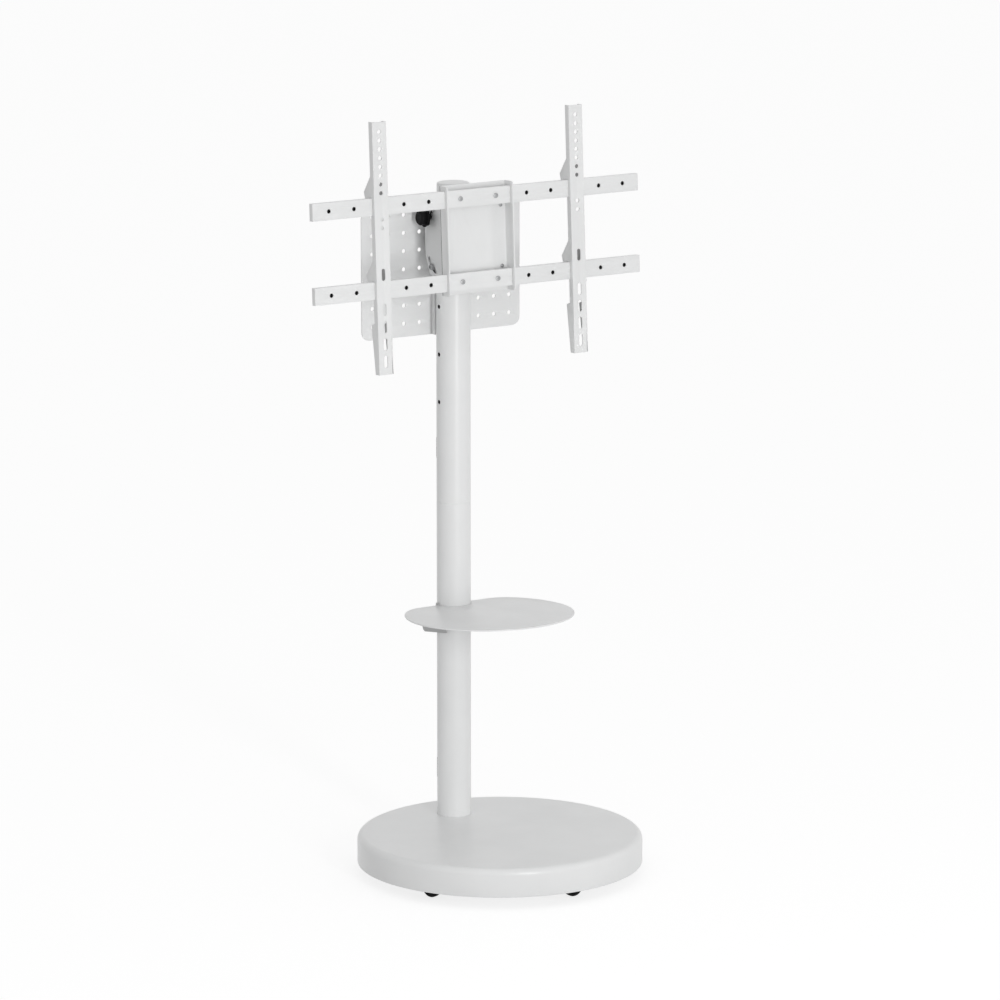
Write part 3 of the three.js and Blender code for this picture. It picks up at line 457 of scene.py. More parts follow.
def build_base():
    low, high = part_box("base_cover")
    radius, rim, top = high.x, low.z, high.z
    inner = radius - COVER_WALL
    centre = radius - COVER_EDGE
    profile = [(0, top - COVER_WALL)]
    profile += arc(centre, top - COVER_EDGE, COVER_EDGE - COVER_WALL, 90, 0, 2 * ARC_STEPS)
    profile += [(inner, rim + COVER_LIP)]
    profile += arc(inner + COVER_LIP, rim + COVER_LIP, COVER_LIP, 180, 270, LIP_STEPS)
    profile += arc(radius - COVER_LIP, rim + COVER_LIP, COVER_LIP, 270, 360, LIP_STEPS)
    profile += arc(centre, top - COVER_EDGE, COVER_EDGE, 0, 90, 2 * ARC_STEPS)
    profile += [(0, top)]
    tube_low, tube_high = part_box("column_upper")
    column = (tube_high - tube_low).x / 2
    hole = rod("Z", column + GAP, top - 2 * COVER_WALL, top + OVERRUN, COLUMN_SIDES)
    cover = cut(lathe(profile, BASE_SIDES), moved(hole, (0, (tube_low + tube_high).y / 2, 0)))
    add("base_cover", cover, "white_coat", "frame", edge=0)


# Casters

WHEEL_EDGE = 0.004
WHEEL_HUB = 0.0105
HUB_DISH = 0.0012
AXLE_RADIUS = 0.003
AXLE_HEAD_RADIUS = 0.0044
AXLE_HEAD = 0.0014
AXLE_CHAMFER = 0.0008
FORK_EYE = 0.0065
FORK_EYE_SPAN = (205, 380)
FORK_LEG = 0.0022
CROWN = 0.003
CROWN_HOLE_RADIUS = 0.0043
CROWN_RADIUS = 0.011
CASTER_TRAIL = 0.017


def build_casters():
    count = sum(name.endswith("_wheel") and name.startswith("caster") for name in nodes)
    for i in range(1, count + 1):
        swivel = joints[f"caster_{i}_swivel_turn"]["pos_m"]
        turn = Matrix.Rotation(2 * math.pi * (i - 1) / count, 4, "Z")
        place = Matrix.Translation((swivel[0], swivel[1], 0)) @ turn
        build_wheel(i, place)
        build_fork(i, place)


def build_wheel(i, place):
    low, high = box_in(place, f"caster_{i}_wheel")
    radius, half = (high.z - low.z) / 2, (high.y - low.y) / 2
    shoulder = radius - WHEEL_EDGE
    bore, dished = AXLE_RADIUS + GAP, half - HUB_DISH
    profile = [(bore, -dished), (WHEEL_HUB, -dished), (WHEEL_HUB + HUB_DISH, -half)]
    profile += arc(shoulder, -half + WHEEL_EDGE, WHEEL_EDGE, -90, 0)
    profile += arc(shoulder, half - WHEEL_EDGE, WHEEL_EDGE, 0, 90)
    profile += [(WHEEL_HUB + HUB_DISH, half), (WHEEL_HUB, dished), (bore, dished)]
    wheel = moved(turned(lathe(profile), "Y"), (CASTER_TRAIL, 0, radius))
    add(f"caster_{i}_wheel", wheel, "rubber", f"caster_{i}_wheel", edge=0, place=place)


def build_fork(i, place):
    high = box_in(place, f"caster_{i}_fork")[1]
    wheel_low, wheel_high = box_in(place, f"caster_{i}_wheel")
    axle_z = (wheel_low.z + wheel_high.z) / 2
    leg_outer = high.y - AXLE_HEAD
    leg_inner = leg_outer - FORK_LEG
    crown_low = high.z - CROWN
    side = [(-CROWN_RADIUS, high.z), (-CROWN_RADIUS, crown_low)]
    side += arc(CASTER_TRAIL, axle_z, FORK_EYE, *FORK_EYE_SPAN, 3 * ARC_STEPS)
    side += [(CASTER_TRAIL + FORK_EYE, high.z)]
    crown = block(-CROWN_RADIUS, CASTER_TRAIL + FORK_EYE, -leg_outer, leg_outer, crown_low, high.z)
    legs = [prism("Y", side, y, y + leg_outer - leg_inner) for y in (-leg_outer, leg_inner)]
    body = union(crown, *legs)
    body = cut(body, rod("Z", CROWN_HOLE_RADIUS, crown_low - OVERRUN, high.z + OVERRUN))
    end, bevel = high.y, AXLE_HEAD_RADIUS - AXLE_CHAMFER
    axle = lathe([
        (0, -end), (bevel, -end), (AXLE_HEAD_RADIUS, AXLE_CHAMFER - end), (AXLE_HEAD_RADIUS, -leg_inner),
        (AXLE_RADIUS, -leg_inner), (AXLE_RADIUS, leg_inner),
        (AXLE_HEAD_RADIUS, leg_inner), (AXLE_HEAD_RADIUS, end - AXLE_CHAMFER), (bevel, end), (0, end),
    ])
    axle = moved(turned(axle, "Y"), (CASTER_TRAIL, 0, axle_z))
    add(f"caster_{i}_fork", joined([body, axle]), "black_plastic", f"caster_{i}_swivel", place=place)


# Column

COLUMN_WALL = 0.002
END_CHAMFER = 0.0006
CAP_EDGE = 0.003
CAP_PLUG_DEPTH = 0.016
CAP_PLUG_WALL = 0.004
LOCK_HOLE_RADIUS = 0.0038
LOCK_HOLE_TOP = 1.1534
LOCK_HOLE_PITCH = 0.0843
LOCK_HOLE_COUNT = 5
GROMMET_WIDTH = 0.038
GROMMET_LENGTH = 0.050
GROMMET_CORNER_SHARE = 0.25
GROMMET_OVERLAP = 0.003
GROMMET_WALL = 0.003
GROMMET_RIM = 0.003
JOINER_SCREW_RADIUS = 0.0028


def column_place():
    low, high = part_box("column_upper")
    return Vector((0, (low.y + high.y) / 2, 0)), (high.x - low.x) / 2


def tube_profile(outer, low, high):
    inner = outer - COLUMN_WALL
    return [(outer, low + END_CHAMFER), (outer, high - END_CHAMFER), (outer - END_CHAMFER, high),
            (inner, high), (inner, low), (outer - END_CHAMFER, low)]


def grommet_heights():
    return {name: sum(corner.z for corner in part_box(name)) / 2
            for name in ("cable_grommet_upper", "cable_grommet_lower")}


def rear_slot(width, length, z, reach):
    corner = width * GROMMET_CORNER_SHARE
    return prism("Y", rectangle(-width / 2, width / 2, z - length / 2, z + length / 2, corner), 0, reach)


def build_column():
    axis, radius = column_place()
    foot_low, foot_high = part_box("column_lower")
    seam, top = foot_high.z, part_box("column_upper")[1].z
    heights = grommet_heights()
    reach = radius + GROMMET_RIM + OVERRUN
    inset = 2 * (GROMMET_OVERLAP - GAP)

    def in_tube(place):
        return math.hypot(place.x - axis.x, place.y - axis.y) < radius - COLUMN_WALL / 2

    def outlet(name):
        return rear_slot(GROMMET_WIDTH - inset, GROMMET_LENGTH - inset, heights[name], reach)

    foot_radius = (foot_high.x - foot_low.x) / 2
    cover_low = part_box("base_cover")[1].z - COVER_WALL
    foot = tube(foot_radius, radius - COLUMN_WALL, foot_low.z, cover_low - GAP)
    shaft = lathe(tube_profile(radius, foot_low.z, seam), COLUMN_SIDES)
    shaft = cut(shaft, outlet("cable_grommet_lower"))
    made = add("column_lower", moved(joined([foot, shaft]), axis), "white_coat", "frame", edge=0)
    leave_bare_and_shade(made, Matrix(), in_tube)

    screw_low, screw_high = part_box("joiner_screw")
    screw_z = (screw_low.z + screw_high.z) / 2
    holes = [moved(rod("Y", JOINER_SCREW_RADIUS, 0, reach), (0, 0, screw_z))]
    for i in range(LOCK_HOLE_COUNT):
        hole = rod("X", LOCK_HOLE_RADIUS, -reach, 0)
        holes.append(moved(hole, (0, 0, LOCK_HOLE_TOP - i * LOCK_HOLE_PITCH)))
    upper = lathe(tube_profile(radius, seam, top), COLUMN_SIDES)
    upper = cut(upper, outlet("cable_grommet_upper"), *holes)
    made = add("column_upper", moved(upper, axis), "white_coat", "frame", edge=0)
    leave_bare_and_shade(made, Matrix(), in_tube)
    build_cap(axis, radius)
    for name, z in heights.items():
        build_grommet(name, axis, radius, z)


def build_cap(axis, radius):
    low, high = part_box("column_cap")
    cap_radius = (high.x - low.x) / 2
    seat = low.z + CAP_PLUG_DEPTH
    plug = radius - COLUMN_WALL - GAP
    hollow = plug - CAP_PLUG_WALL
    profile = [(0, seat), (hollow, seat), (hollow, low.z), (plug, low.z), (plug, seat), (cap_radius, seat)]
    profile += arc(cap_radius - CAP_EDGE, high.z - CAP_EDGE, CAP_EDGE, 0, 90, 2 * ARC_STEPS)
    profile += [(0, high.z)]
    add("column_cap", moved(lathe(profile, COLUMN_SIDES), axis), "white_coat", "frame", edge=0)


def build_grommet(name, axis, radius, z):
    outer = radius + GROMMET_RIM
    reach = outer + OVERRUN
    half = GROMMET_LENGTH / 2 + OVERRUN
    rim = common(tube(outer, radius + GAP, z - half, z + half),
                 rear_slot(GROMMET_WIDTH, GROMMET_LENGTH, z, reach))
    inset = 2 * GROMMET_OVERLAP
    collar = common(tube(radius + GROMMET_RIM / 2, radius - COLUMN_WALL, z - half, z + half),
                    rear_slot(GROMMET_WIDTH - inset, GROMMET_LENGTH - inset, z, reach))
    passage = inset + 2 * GROMMET_WALL
    whole = cut(union(rim, collar), rear_slot(GROMMET_WIDTH - passage, GROMMET_LENGTH - passage, z, reach))
    add(name, moved(whole, axis), "black_plastic", "frame", edge=SOFT_EDGE, segments=SOFT_SEGMENTS)


# Fasteners. Rises and shares of depth are parts of a head's height, and other shares of its radius.
# A hexagon bolt is its head's radius, its head's height and its shank's radius.

HEXAGON = 6
DOME_STEPS = 6
DOME_RISE = 0.35
SOCKET_SHARE = 0.5
SOCKET_DEPTH_SHARE = 0.6
SHANK_SHARE = 0.5
REAR_SCREWS = (("joiner_screw", "frame", 0.002), ("av_screw_1", "carriage", 0.0022),
               ("av_screw_2", "carriage", 0.0022))


def pan_head(radius, height, socket, depth, rise=DOME_RISE):
    """A low domed head along +Z from z = 0, with a hexagon socket in it."""
    crown = height * (1 - rise)
    profile = [(0, 0), (radius, 0)]
    profile += [(radius * math.cos(t), crown + (height - crown) * math.sin(t))
                for t in (math.radians(90 * i / DOME_STEPS) for i in range(DOME_STEPS))]
    profile += [(0, height)]
    return cut(lathe(profile), hexagon("Z", socket, height - depth, height + OVERRUN))


def hexagon(axis, radius, low, high):
    return prism(axis, circle(0, 0, radius, HEXAGON), low, high)


def screw(aim, centre, radius, height, top, tip, depth=SOCKET_DEPTH_SHARE, shank=SHANK_SHARE):
    """A pan head with its top at one place on an axis, on a shank that ends at another."""
    way = -1 if aim[0] == "-" else 1
    axis = aim[-1]
    seat, start = Vector(centre), Vector(centre)
    seat["XYZ".index(axis)] = top - way * height
    start["XYZ".index(axis)] = 0
    head = turned(pan_head(radius, height, radius * SOCKET_SHARE, depth * height), aim)
    stem = rod(axis, radius * shank, *sorted((tip, top - way * height / 2)))
    return joined([moved(head, seat), moved(stem, start)])


def hexagon_bolt(axis, centre, sizes, top, tip):
    radius, height, shank = sizes
    way = 1 if top > tip else -1
    head = hexagon(axis, radius, *sorted((top, top - way * height)))
    bolt = union(head, rod(axis, shank, *sorted((tip, top - way * height / 2))))
    start = Vector(centre)
    start["XYZ".index(axis)] = 0
    return moved(bolt, start)


def build_rear_screws():
    """The pan heads on the back of the column and of the equipment plate."""
    for name, body, height in REAR_SCREWS:
        low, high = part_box(name)
        radius = (high.x - low.x) / 2
        made = screw("Y", (0, 0, (low.z + high.z) / 2), radius, height, high.y, low.y)
        add(name, made, "steel", body, edge=0)


# Shelf

SHELF_CORNER_SHARE = 0.58
SHELF_SIDE_SHARE = 0.46
SHELF_WIDEST_Y = 0.030
SHELF_BACK_HALF_WIDTH = 0.070
SHELF_SLOT_GAP = 0.001
SHELF_STEPS = 24
BRACKET_THICKNESS = 0.003
BRACKET_FRONT_DEPTH = 0.014
BRACKET_CHEEK_FRONT = 0.123
BRACKET_CHEEK_DEPTH = 0.043
BRACKET_KNEE = 0.010
BRACKET_CORNER = 0.009
BRACKET_REAR_DEPTH = 0.051
BRACKET_REAR_DROP = 0.016
# The share of the dark tone on the whole bracket: partly painted shade from the shelf above, partly the bracket's
# own darker grey
BRACKET_SHADE = 0.47
BRACKET_BOLT = (0.007, 0.0045, 0.004)
BOLT_PROUD = 0.0008
TAB_LENGTH = 0.003
TAB_SLOPE_DROP = 0.005
SHELF_SCREW_HEAD = 0.0024


def shelf_place():
    low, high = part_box("shelf_bracket_bolt")
    axis = Vector((0, (low.y + high.y) / 2, (low.z + high.z) / 2))
    turn = Matrix.Rotation(-SHELF_PITCH, 4, "X")
    return Matrix.Translation(axis) @ turn @ Matrix.Translation(-axis)


def shelf_outline(low, high, column_y, slot):
    half = high.x
    back = SHELF_BACK_HALF_WIDTH
    run = (half - back) * SHELF_CORNER_SHARE
    rise = (column_y - SHELF_WIDEST_Y) * SHELF_SIDE_SHARE
    bend = ((back, column_y), (back + run, column_y), (half, SHELF_WIDEST_Y + rise), (half, SHELF_WIDEST_Y))
    right = [(p.x, p.y) for p in interpolate_bezier(*(Vector(p).to_3d() for p in bend), SHELF_STEPS)]
    reach = SHELF_WIDEST_Y - low.y
    steps = 3 * SHELF_STEPS
    front = [(half * math.cos(t), SHELF_WIDEST_Y - reach * math.sin(t))
             for t in (math.pi * i / steps for i in range(1, steps))]
    left = [(-x, y) for x, y in reversed(right)]
    notch = arc(0, column_y, slot, 180, 360, ROUND_SIDES)
    return right + front + left + notch


def build_shelf():
    place = shelf_place()
    axis, radius = column_place()
    low, high = box_in(place, "shelf_plate")
    slot = radius + SHELF_SLOT_GAP
    plate = prism("Z", shelf_outline(low, high, axis.y, slot), low.z, high.z)
    add("shelf_plate", plate, "white_coat", "frame", edge=SOFT_EDGE, place=place,
        segments=SOFT_SEGMENTS)
    build_bracket(place, axis, low.z)
    build_shelf_screws(place)
    build_bracket_bolt(place)


def build_bracket(place, axis, shelf_bottom):
    low, high = box_in(place, "shelf_bracket")
    top = shelf_bottom - GAP
    tab_front = axis.y + GAP
    tab_rear = tab_front + TAB_LENGTH
    corner = BRACKET_CORNER
    side = [(low.y, top), (low.y, top - BRACKET_FRONT_DEPTH),
            (BRACKET_CHEEK_FRONT - BRACKET_KNEE, top - BRACKET_FRONT_DEPTH),
            (BRACKET_CHEEK_FRONT, top - BRACKET_CHEEK_DEPTH)]
    side += arc(high.y - corner, top - BRACKET_REAR_DEPTH + corner, corner, -90, 0)
    side += [(high.y, top - BRACKET_REAR_DROP - corner), (high.y - corner, top - BRACKET_REAR_DROP),
             (tab_rear + TAB_LENGTH, top - TAB_SLOPE_DROP), (tab_rear, high.z), (tab_front, high.z),
             (tab_front, top)]
    inner = high.x - BRACKET_THICKNESS
    cheeks = [prism("X", side, x, x + BRACKET_THICKNESS) for x in (low.x, inner)]
    deck = block(low.x, high.x, low.y, axis.y, top - BRACKET_THICKNESS, top)
    notch = rod("Z", inner, top - 2 * BRACKET_THICKNESS, top + OVERRUN, COLUMN_SIDES)
    bracket = union(cut(deck, moved(notch, (0, axis.y, 0))), *cheeks)
    made = add("shelf_bracket", bracket, "white_coat", "frame", edge=SOFT_EDGE, place=place)
    # Painted shade from the shelf above, together with the bracket's own darker grey: the whole bracket takes this
    # share of the dark tone
    leave_bare_and_shade(made, place, lambda centre: BRACKET_SHADE)


def build_shelf_screws(place):
    for name in ("shelf_screw_1", "shelf_screw_2"):
        low, high = box_in(place, name)
        radius = (high.y - low.y) / 2
        made = screw("-Z", (low + high) / 2, radius, SHELF_SCREW_HEAD, low.z, high.z)
        add(name, made, "steel", "frame", edge=0, place=place)


def build_bracket_bolt(place):
    low, high = box_in(place, "shelf_bracket_bolt")
    bolt = hexagon_bolt("X", (low + high) / 2, BRACKET_BOLT, high.x, low.x - BOLT_PROUD)
    add("shelf_bracket_bolt", bolt, "steel", "frame", place=place)


# Carriage

SLEEVE_WALL = 0.0025
KEYWAY_HALF_WIDTH = 0.0225
KEYWAY_DEPTH = 0.034
KEYWAY_WALL = 0.0024
LINER_GAP = 0.0004
KNOB_BOSS_RADIUS = 0.008
LOCK_BOSS_RADIUS = 0.0055
BOSS_ROOT = 0.026
LUG_RADIUS = 0.012
HEIGHT_BOSS_RADIUS = 0.009
HEIGHT_BOSS_REACH = 0.046
PIVOT_HEAD = 0.0055
PIVOT_SHANK = 0.004
PIVOT_SOCKET = 0.0035
PIVOT_SOCKET_DEPTH = 0.003
PIVOT_RISE = 0.25
LOCK_HEAD_RADIUS = 0.0046
LOCK_HEAD = 0.004
LOCK_SOCKET = 0.0024
LOCK_SOCKET_DEPTH = 0.0022
LOCK_RISE = 0.3
LOCK_WASHER = 0.0015
LOCK_SHANK = 0.003
HEIGHT_BOLT = (0.007, 0.005, 0.004)


def build_carriage():
    axis, radius = column_place()
    low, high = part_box("carriage_sleeve")
    outer = high.x
    inner = outer - SLEEVE_WALL
    outline = keyhole(outer, KEYWAY_HALF_WIDTH + SLEEVE_WALL, KEYWAY_DEPTH + KEYWAY_WALL)
    shell = prism("Z", outline, low.z, high.z)
    pivot = Vector(joints["screen_tilt"]["pos_m"]) - axis
    lug = moved(rod("X", LUG_RADIUS, -outer, outer), (0, pivot.y, pivot.z))
    web = block(-outer, outer, pivot.y, LUG_RADIUS - outer, pivot.z - LUG_RADIUS, pivot.z + LUG_RADIUS)
    parts = [lug, web]
    bosses = ((-1, "tilt_knob_stud", KNOB_BOSS_RADIUS), (-1, "tilt_lock_bolt_left", LOCK_BOSS_RADIUS),
              (1, "tilt_lock_bolt_right", LOCK_BOSS_RADIUS))
    for side, node, boss in bosses:
        centre = sum(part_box(node), Vector()) / 2 - axis
        reach = sorted((side * BOSS_ROOT, side * outer))
        parts.append(moved(rod("X", boss, *reach), (0, centre.y, centre.z)))
    height_z = sum(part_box("height_lock_bolt"), Vector()).z / 2
    parts.append(moved(rod("Y", HEIGHT_BOSS_RADIUS, -HEIGHT_BOSS_REACH, -BOSS_ROOT), (0, 0, height_z)))
    bore = prism("Z", keyhole(inner, KEYWAY_HALF_WIDTH, KEYWAY_DEPTH), low.z - OVERRUN, high.z + OVERRUN)
    sleeve = cut(union(shell, *parts), bore)
    add("carriage_sleeve", moved(sleeve, axis), "white_coat", "carriage")
    for name in ("carriage_liner_lower", "carriage_liner_upper"):
        build_liner(name, axis, radius + LINER_GAP, inner - GAP)
    build_pivot()
    for side, name in ((-1, "tilt_lock_bolt_left"), (1, "tilt_lock_bolt_right")):
        build_lock_bolt(name, side)
    build_height_bolt()


def build_liner(name, axis, inner, outer):
    low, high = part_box(name)
    rear = KEYWAY_DEPTH - GAP
    shell = prism("Z", keyhole(outer, KEYWAY_HALF_WIDTH - GAP, rear), low.z, high.z)
    throat = keyhole(inner, KEYWAY_HALF_WIDTH - GAP - (outer - inner), rear + OVERRUN)
    liner = cut(shell, prism("Z", throat, low.z - OVERRUN, high.z + OVERRUN))
    add(name, moved(liner, axis), "black_plastic", "carriage", edge=0)


def build_pivot():
    low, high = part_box("tilt_pivot_pin")
    centre = (low + high) / 2
    radius = (high.y - low.y) / 2
    parts = []
    for aim, side in (("X", 1), ("-X", -1)):
        head = pan_head(radius, PIVOT_HEAD, PIVOT_SOCKET, PIVOT_SOCKET_DEPTH, PIVOT_RISE)
        parts.append(moved(turned(head, aim), (side * (high.x - PIVOT_HEAD), 0, 0)))
    parts.append(rod("X", PIVOT_SHANK, PIVOT_HEAD / 2 - high.x, high.x - PIVOT_HEAD / 2))
    pin = moved(joined(parts), (0, centre.y, centre.z))
    add("tilt_pivot_pin", pin, "steel", "carriage", edge=0)


def build_lock_bolt(name, side):
    low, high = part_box(name)
    centre = (low + high) / 2
    washer = (high.y - low.y) / 2
    seat = high.x - low.x - LOCK_HEAD
    disc = lathe([(0, 0), (washer - EDGE, 0), (washer, EDGE), (washer, LOCK_WASHER - EDGE),
                  (washer - EDGE, LOCK_WASHER), (0, LOCK_WASHER)])
    head = pan_head(LOCK_HEAD_RADIUS, LOCK_HEAD, LOCK_SOCKET, LOCK_SOCKET_DEPTH, LOCK_RISE)
    bolt = joined([
        moved(disc, (0, 0, seat - LOCK_WASHER)),
        moved(head, (0, 0, seat)),
        rod("Z", LOCK_SHANK, 0, seat - LOCK_WASHER / 2),
    ])
    start = low.x if side > 0 else high.x
    bolt = moved(turned(bolt, "X" if side > 0 else "-X"), (start, centre.y, centre.z))
    add(name, bolt, "steel", "carriage", edge=0)


def build_height_bolt():
    low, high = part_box("height_lock_bolt")
    bolt = hexagon_bolt("Y", (0, 0, (low.z + high.z) / 2), HEIGHT_BOLT, low.y, high.y)
    add("height_lock_bolt", bolt, "steel", "carriage")


# Knob

KNOB_LOBES = 8
KNOB_LOBE_SHARE = 0.08
KNOB_STEPS = 12
KNOB_GRIP = 0.005
KNOB_CAP_RADIUS = 0.0131
KNOB_CAP_FILLET = 0.004
KNOB_DISH_SHARE = 0.8
KNOB_DISH_DEPTH = 0.0005
KNOB_COLLAR_RADIUS = 0.005
KNOB_COLLAR = 0.0095
KNOB_SOFT = 0.0007
KNOB_SOFT_CURVE = ((0, 2), (0.3, 1), (1, 0.3), (2, 0))


def build_knob():
    """A scalloped disc behind a round cap with a rolled edge, on a slim collar."""
    low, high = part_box("tilt_knob")
    centre = (low + high) / 2
    radius = (high.y - low.y) / 2
    count = KNOB_LOBES * KNOB_STEPS
    disc_start = high.x - KNOB_COLLAR
    disc_end = disc_start - KNOB_GRIP

    def ring(x, size, depth=KNOB_LOBE_SHARE):
        points = []
        for i in range(count):
            angle = 2 * math.pi * i / count
            r = size * (1 - depth * (1 - math.cos(KNOB_LOBES * angle)) / 2)
            points.append((x, r * math.cos(angle), r * math.sin(angle)))
        return points

    sections = [ring(disc_start - KNOB_SOFT * a, radius - KNOB_SOFT * b) for a, b in KNOB_SOFT_CURVE]
    sections += [ring(disc_end + KNOB_SOFT * a, radius - KNOB_SOFT * b)
                 for a, b in reversed(KNOB_SOFT_CURVE)]
    sections += [ring(disc_end, KNOB_CAP_RADIUS, 0)]
    roll = arc(low.x + KNOB_CAP_FILLET, KNOB_CAP_RADIUS - KNOB_CAP_FILLET, KNOB_CAP_FILLET, 90, 180)
    sections += [ring(x, size, 0) for x, size in roll]
    dish = (KNOB_CAP_RADIUS - KNOB_CAP_FILLET) * KNOB_DISH_SHARE
    sections += [ring(low.x, dish, 0), ring(low.x + KNOB_DISH_DEPTH, dish - KNOB_DISH_DEPTH, 0)]
    grip = loft(sections)
    collar = lathe([(0, 0), (KNOB_COLLAR_RADIUS, 0), (KNOB_COLLAR_RADIUS, KNOB_COLLAR - EDGE),
                    (KNOB_COLLAR_RADIUS - EDGE, KNOB_COLLAR), (0, KNOB_COLLAR)])
    collar = moved(turned(collar, "X"), (disc_start, 0, 0))
    knob = moved(joined([grip, collar]), (0, centre.y, centre.z))
    add("tilt_knob", knob, "black_plastic", "tilt_knob", edge=0)


# Equipment plate

PLATE_CORNER = 0.016
PLATE_HOLE_RADIUS = 0.00375
PLATE_HOLE_PITCH = 0.032
PLATE_INNER_HOLE = 0.045
PLATE_SIDE_COLUMNS = 4
PLATE_ROWS = 7
CHANNEL_WALL = 0.003
CHANNEL_FLANGE_MARGIN = 0.006


def build_equipment_plate():
    low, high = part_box("av_plate")
    middle = (low.z + high.z) / 2
    holes = []
    for column in range(PLATE_SIDE_COLUMNS):
        for row in range(PLATE_ROWS):
            x = PLATE_INNER_HOLE + column * PLATE_HOLE_PITCH
            z = middle + (row - (PLATE_ROWS - 1) / 2) * PLATE_HOLE_PITCH
            holes += [circle(side * x, z, PLATE_HOLE_RADIUS) for side in (-1, 1)]
    outline = rectangle(low.x, high.x, low.z, high.z, PLATE_CORNER)
    add("av_plate", prism("Y", outline, low.y, high.y, holes), "white_coat", "carriage")
    build_channel()


def build_channel():
    low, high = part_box("av_channel")
    sleeve_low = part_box("carriage_sleeve")[0]
    web_front = high.y - CHANNEL_WALL
    web = block(low.x, high.x, web_front, high.y, low.z, high.z)
    flanges = [block(x, x + CHANNEL_WALL, low.y, high.y, low.z, sleeve_low.z - CHANNEL_FLANGE_MARGIN)
               for x in (low.x, high.x - CHANNEL_WALL)]
    add("av_channel", union(web, *flanges), "white_coat", "carriage")


# Tilting head

HEAD = Matrix.Translation(Vector(joints["screen_tilt"]["pos_m"])) @ Matrix.Rotation(-HEAD_TILT, 4, "X")
TILT_RANGE = joints["screen_tilt"]["range_deg"]
TRAY_WALL = 0.0025
TRAY_CORNER = 0.006
TRAY_BEND = 0.004
TRAY_SEAM = 0.0014
SEAM_LIP = 0.0002
BAR_WALL = 0.002
BAR_HOLE_RADIUS = 0.00375
BAR_HOLE_PITCH = 0.050
BAR_INNER_HOLE = 0.100
BAR_SIDE_HOLES = 5
BAR_BOSS_RADIUS = 0.0065
EAR_THICKNESS = 0.003
EAR_HALF_HEIGHT = 0.0675
EAR_SHOULDER = 0.034
EAR_CHAMFER_Y = 0.063
EAR_FOOT_HALF_HEIGHT = 0.062
PIVOT_HOLE_RADIUS = 0.0043
KNOB_STUD_RADIUS = 0.0035
SLOT_MARGIN = 1.0
SLOT_GAP = 0.0012
SLOT_REACH = 0.006
FRONT_SCREW_HEADS = {"bar_screw": 0.0018, "tray_screw": 0.0014}
FRONT_SCREW_COUNT = 4
FRONT_SOCKET_DEPTH_SHARE = 0.65
FRONT_SHANK_SHARE = 0.6
BARS = ("crossbar_upper", "crossbar_lower")


def bent_tray(low, high):
    """The U of the tray seen from above, with rounded bends, as an outline of (x, y) pairs."""
    outer, inner = TRAY_BEND, TRAY_BEND - TRAY_WALL
    x, front, rear = high.x, low.y, high.y
    wall = x - TRAY_WALL
    right = [(x, front)] + arc(x - outer, rear - outer, outer, 0, 90)
    left = [(-a, b) for a, b in reversed(right)]
    inside_left = [(-wall, front)] + arc(-wall + inner, rear - TRAY_WALL - inner, inner, 180, 90)
    inside_right = [(-a, b) for a, b in reversed(inside_left)]
    return right + left + inside_left + inside_right


def build_tray():
    low, high = box_in(HEAD, "tray")
    bars = [box_in(HEAD, name) for name in BARS]
    shell = prism("Z", bent_tray(low, high), low.z, high.z)
    silhouette = rectangle(low.y, high.y + TRAY_CORNER, low.z, high.z, TRAY_CORNER)
    shell = common(shell, prism("X", silhouette, low.x - OVERRUN, high.x + OVERRUN))
    windows = [block(low.x - OVERRUN, high.x + OVERRUN, a.y - GAP, b.y + GAP, a.z - GAP, b.z + GAP)
               for a, b in bars]
    bosses = []
    for name in BARS:
        for i in range(1, FRONT_SCREW_COUNT + 1):
            centre = sum(box_in(HEAD, f"bar_screw_{i}"), Vector()) / 2
            a, b = box_in(HEAD, name)
            if a.z < centre.z < b.z:
                boss = rod("Y", BAR_BOSS_RADIUS, b.y + GAP, high.y - OVERRUN)
                bosses.append(moved(boss, (centre.x, 0, centre.z)))
    seam_rear = high.y - TRAY_BEND
    seam_front = seam_rear - TRAY_SEAM
    seams = [block(*sorted((side * (high.x - TRAY_SEAM), side * (high.x + OVERRUN))), seam_front, seam_rear,
                   low.z - OVERRUN, high.z + OVERRUN) for side in (-1, 1)]
    tray = union(cut(shell, *windows, *seams), *bosses)
    made = add("tray", tray, "white_coat", "head", place=HEAD)
    # Painted shade: the walls of the seam groove take the dark tone, as a shadowed crease
    leave_bare_and_shade(made, HEAD, lambda c: high.x - TRAY_SEAM - EDGE < abs(c.x) < high.x - SEAM_LIP
               and seam_front - EDGE < c.y < seam_rear + EDGE)


def tilt_slot(stud, half_width):
    radius = math.hypot(stud.y, stud.z)
    rest = math.degrees(math.atan2(stud.z, stud.y))
    start = rest + TILT_RANGE[0] - SLOT_MARGIN
    end = rest + TILT_RANGE[1] + SLOT_MARGIN
    (end_y, end_z), (start_y, start_z) = arc(0, 0, radius, end, start, 1)
    half = HOLE_SIDES // 2
    return (
        arc(0, 0, radius + half_width, start, end, HOLE_SIDES)
        + arc(end_y, end_z, half_width, end, end + 180, half)[1:-1]
        + arc(0, 0, radius - half_width, end, start, HOLE_SIDES)
        + arc(start_y, start_z, half_width, start + 180, start + 360, half)[1:-1]
    )


def in_slot(point, studs):
    """Whether a point lies in the wall of a curved slot: near its radius, and away from the outline."""
    radius = math.hypot(point.y, point.z)
    near = any(abs(radius - math.hypot(stud.y, stud.z)) < SLOT_REACH for stud in studs)
    return near and point.y < EAR_CHAMFER_Y and abs(point.z) < EAR_HALF_HEIGHT - EAR_THICKNESS


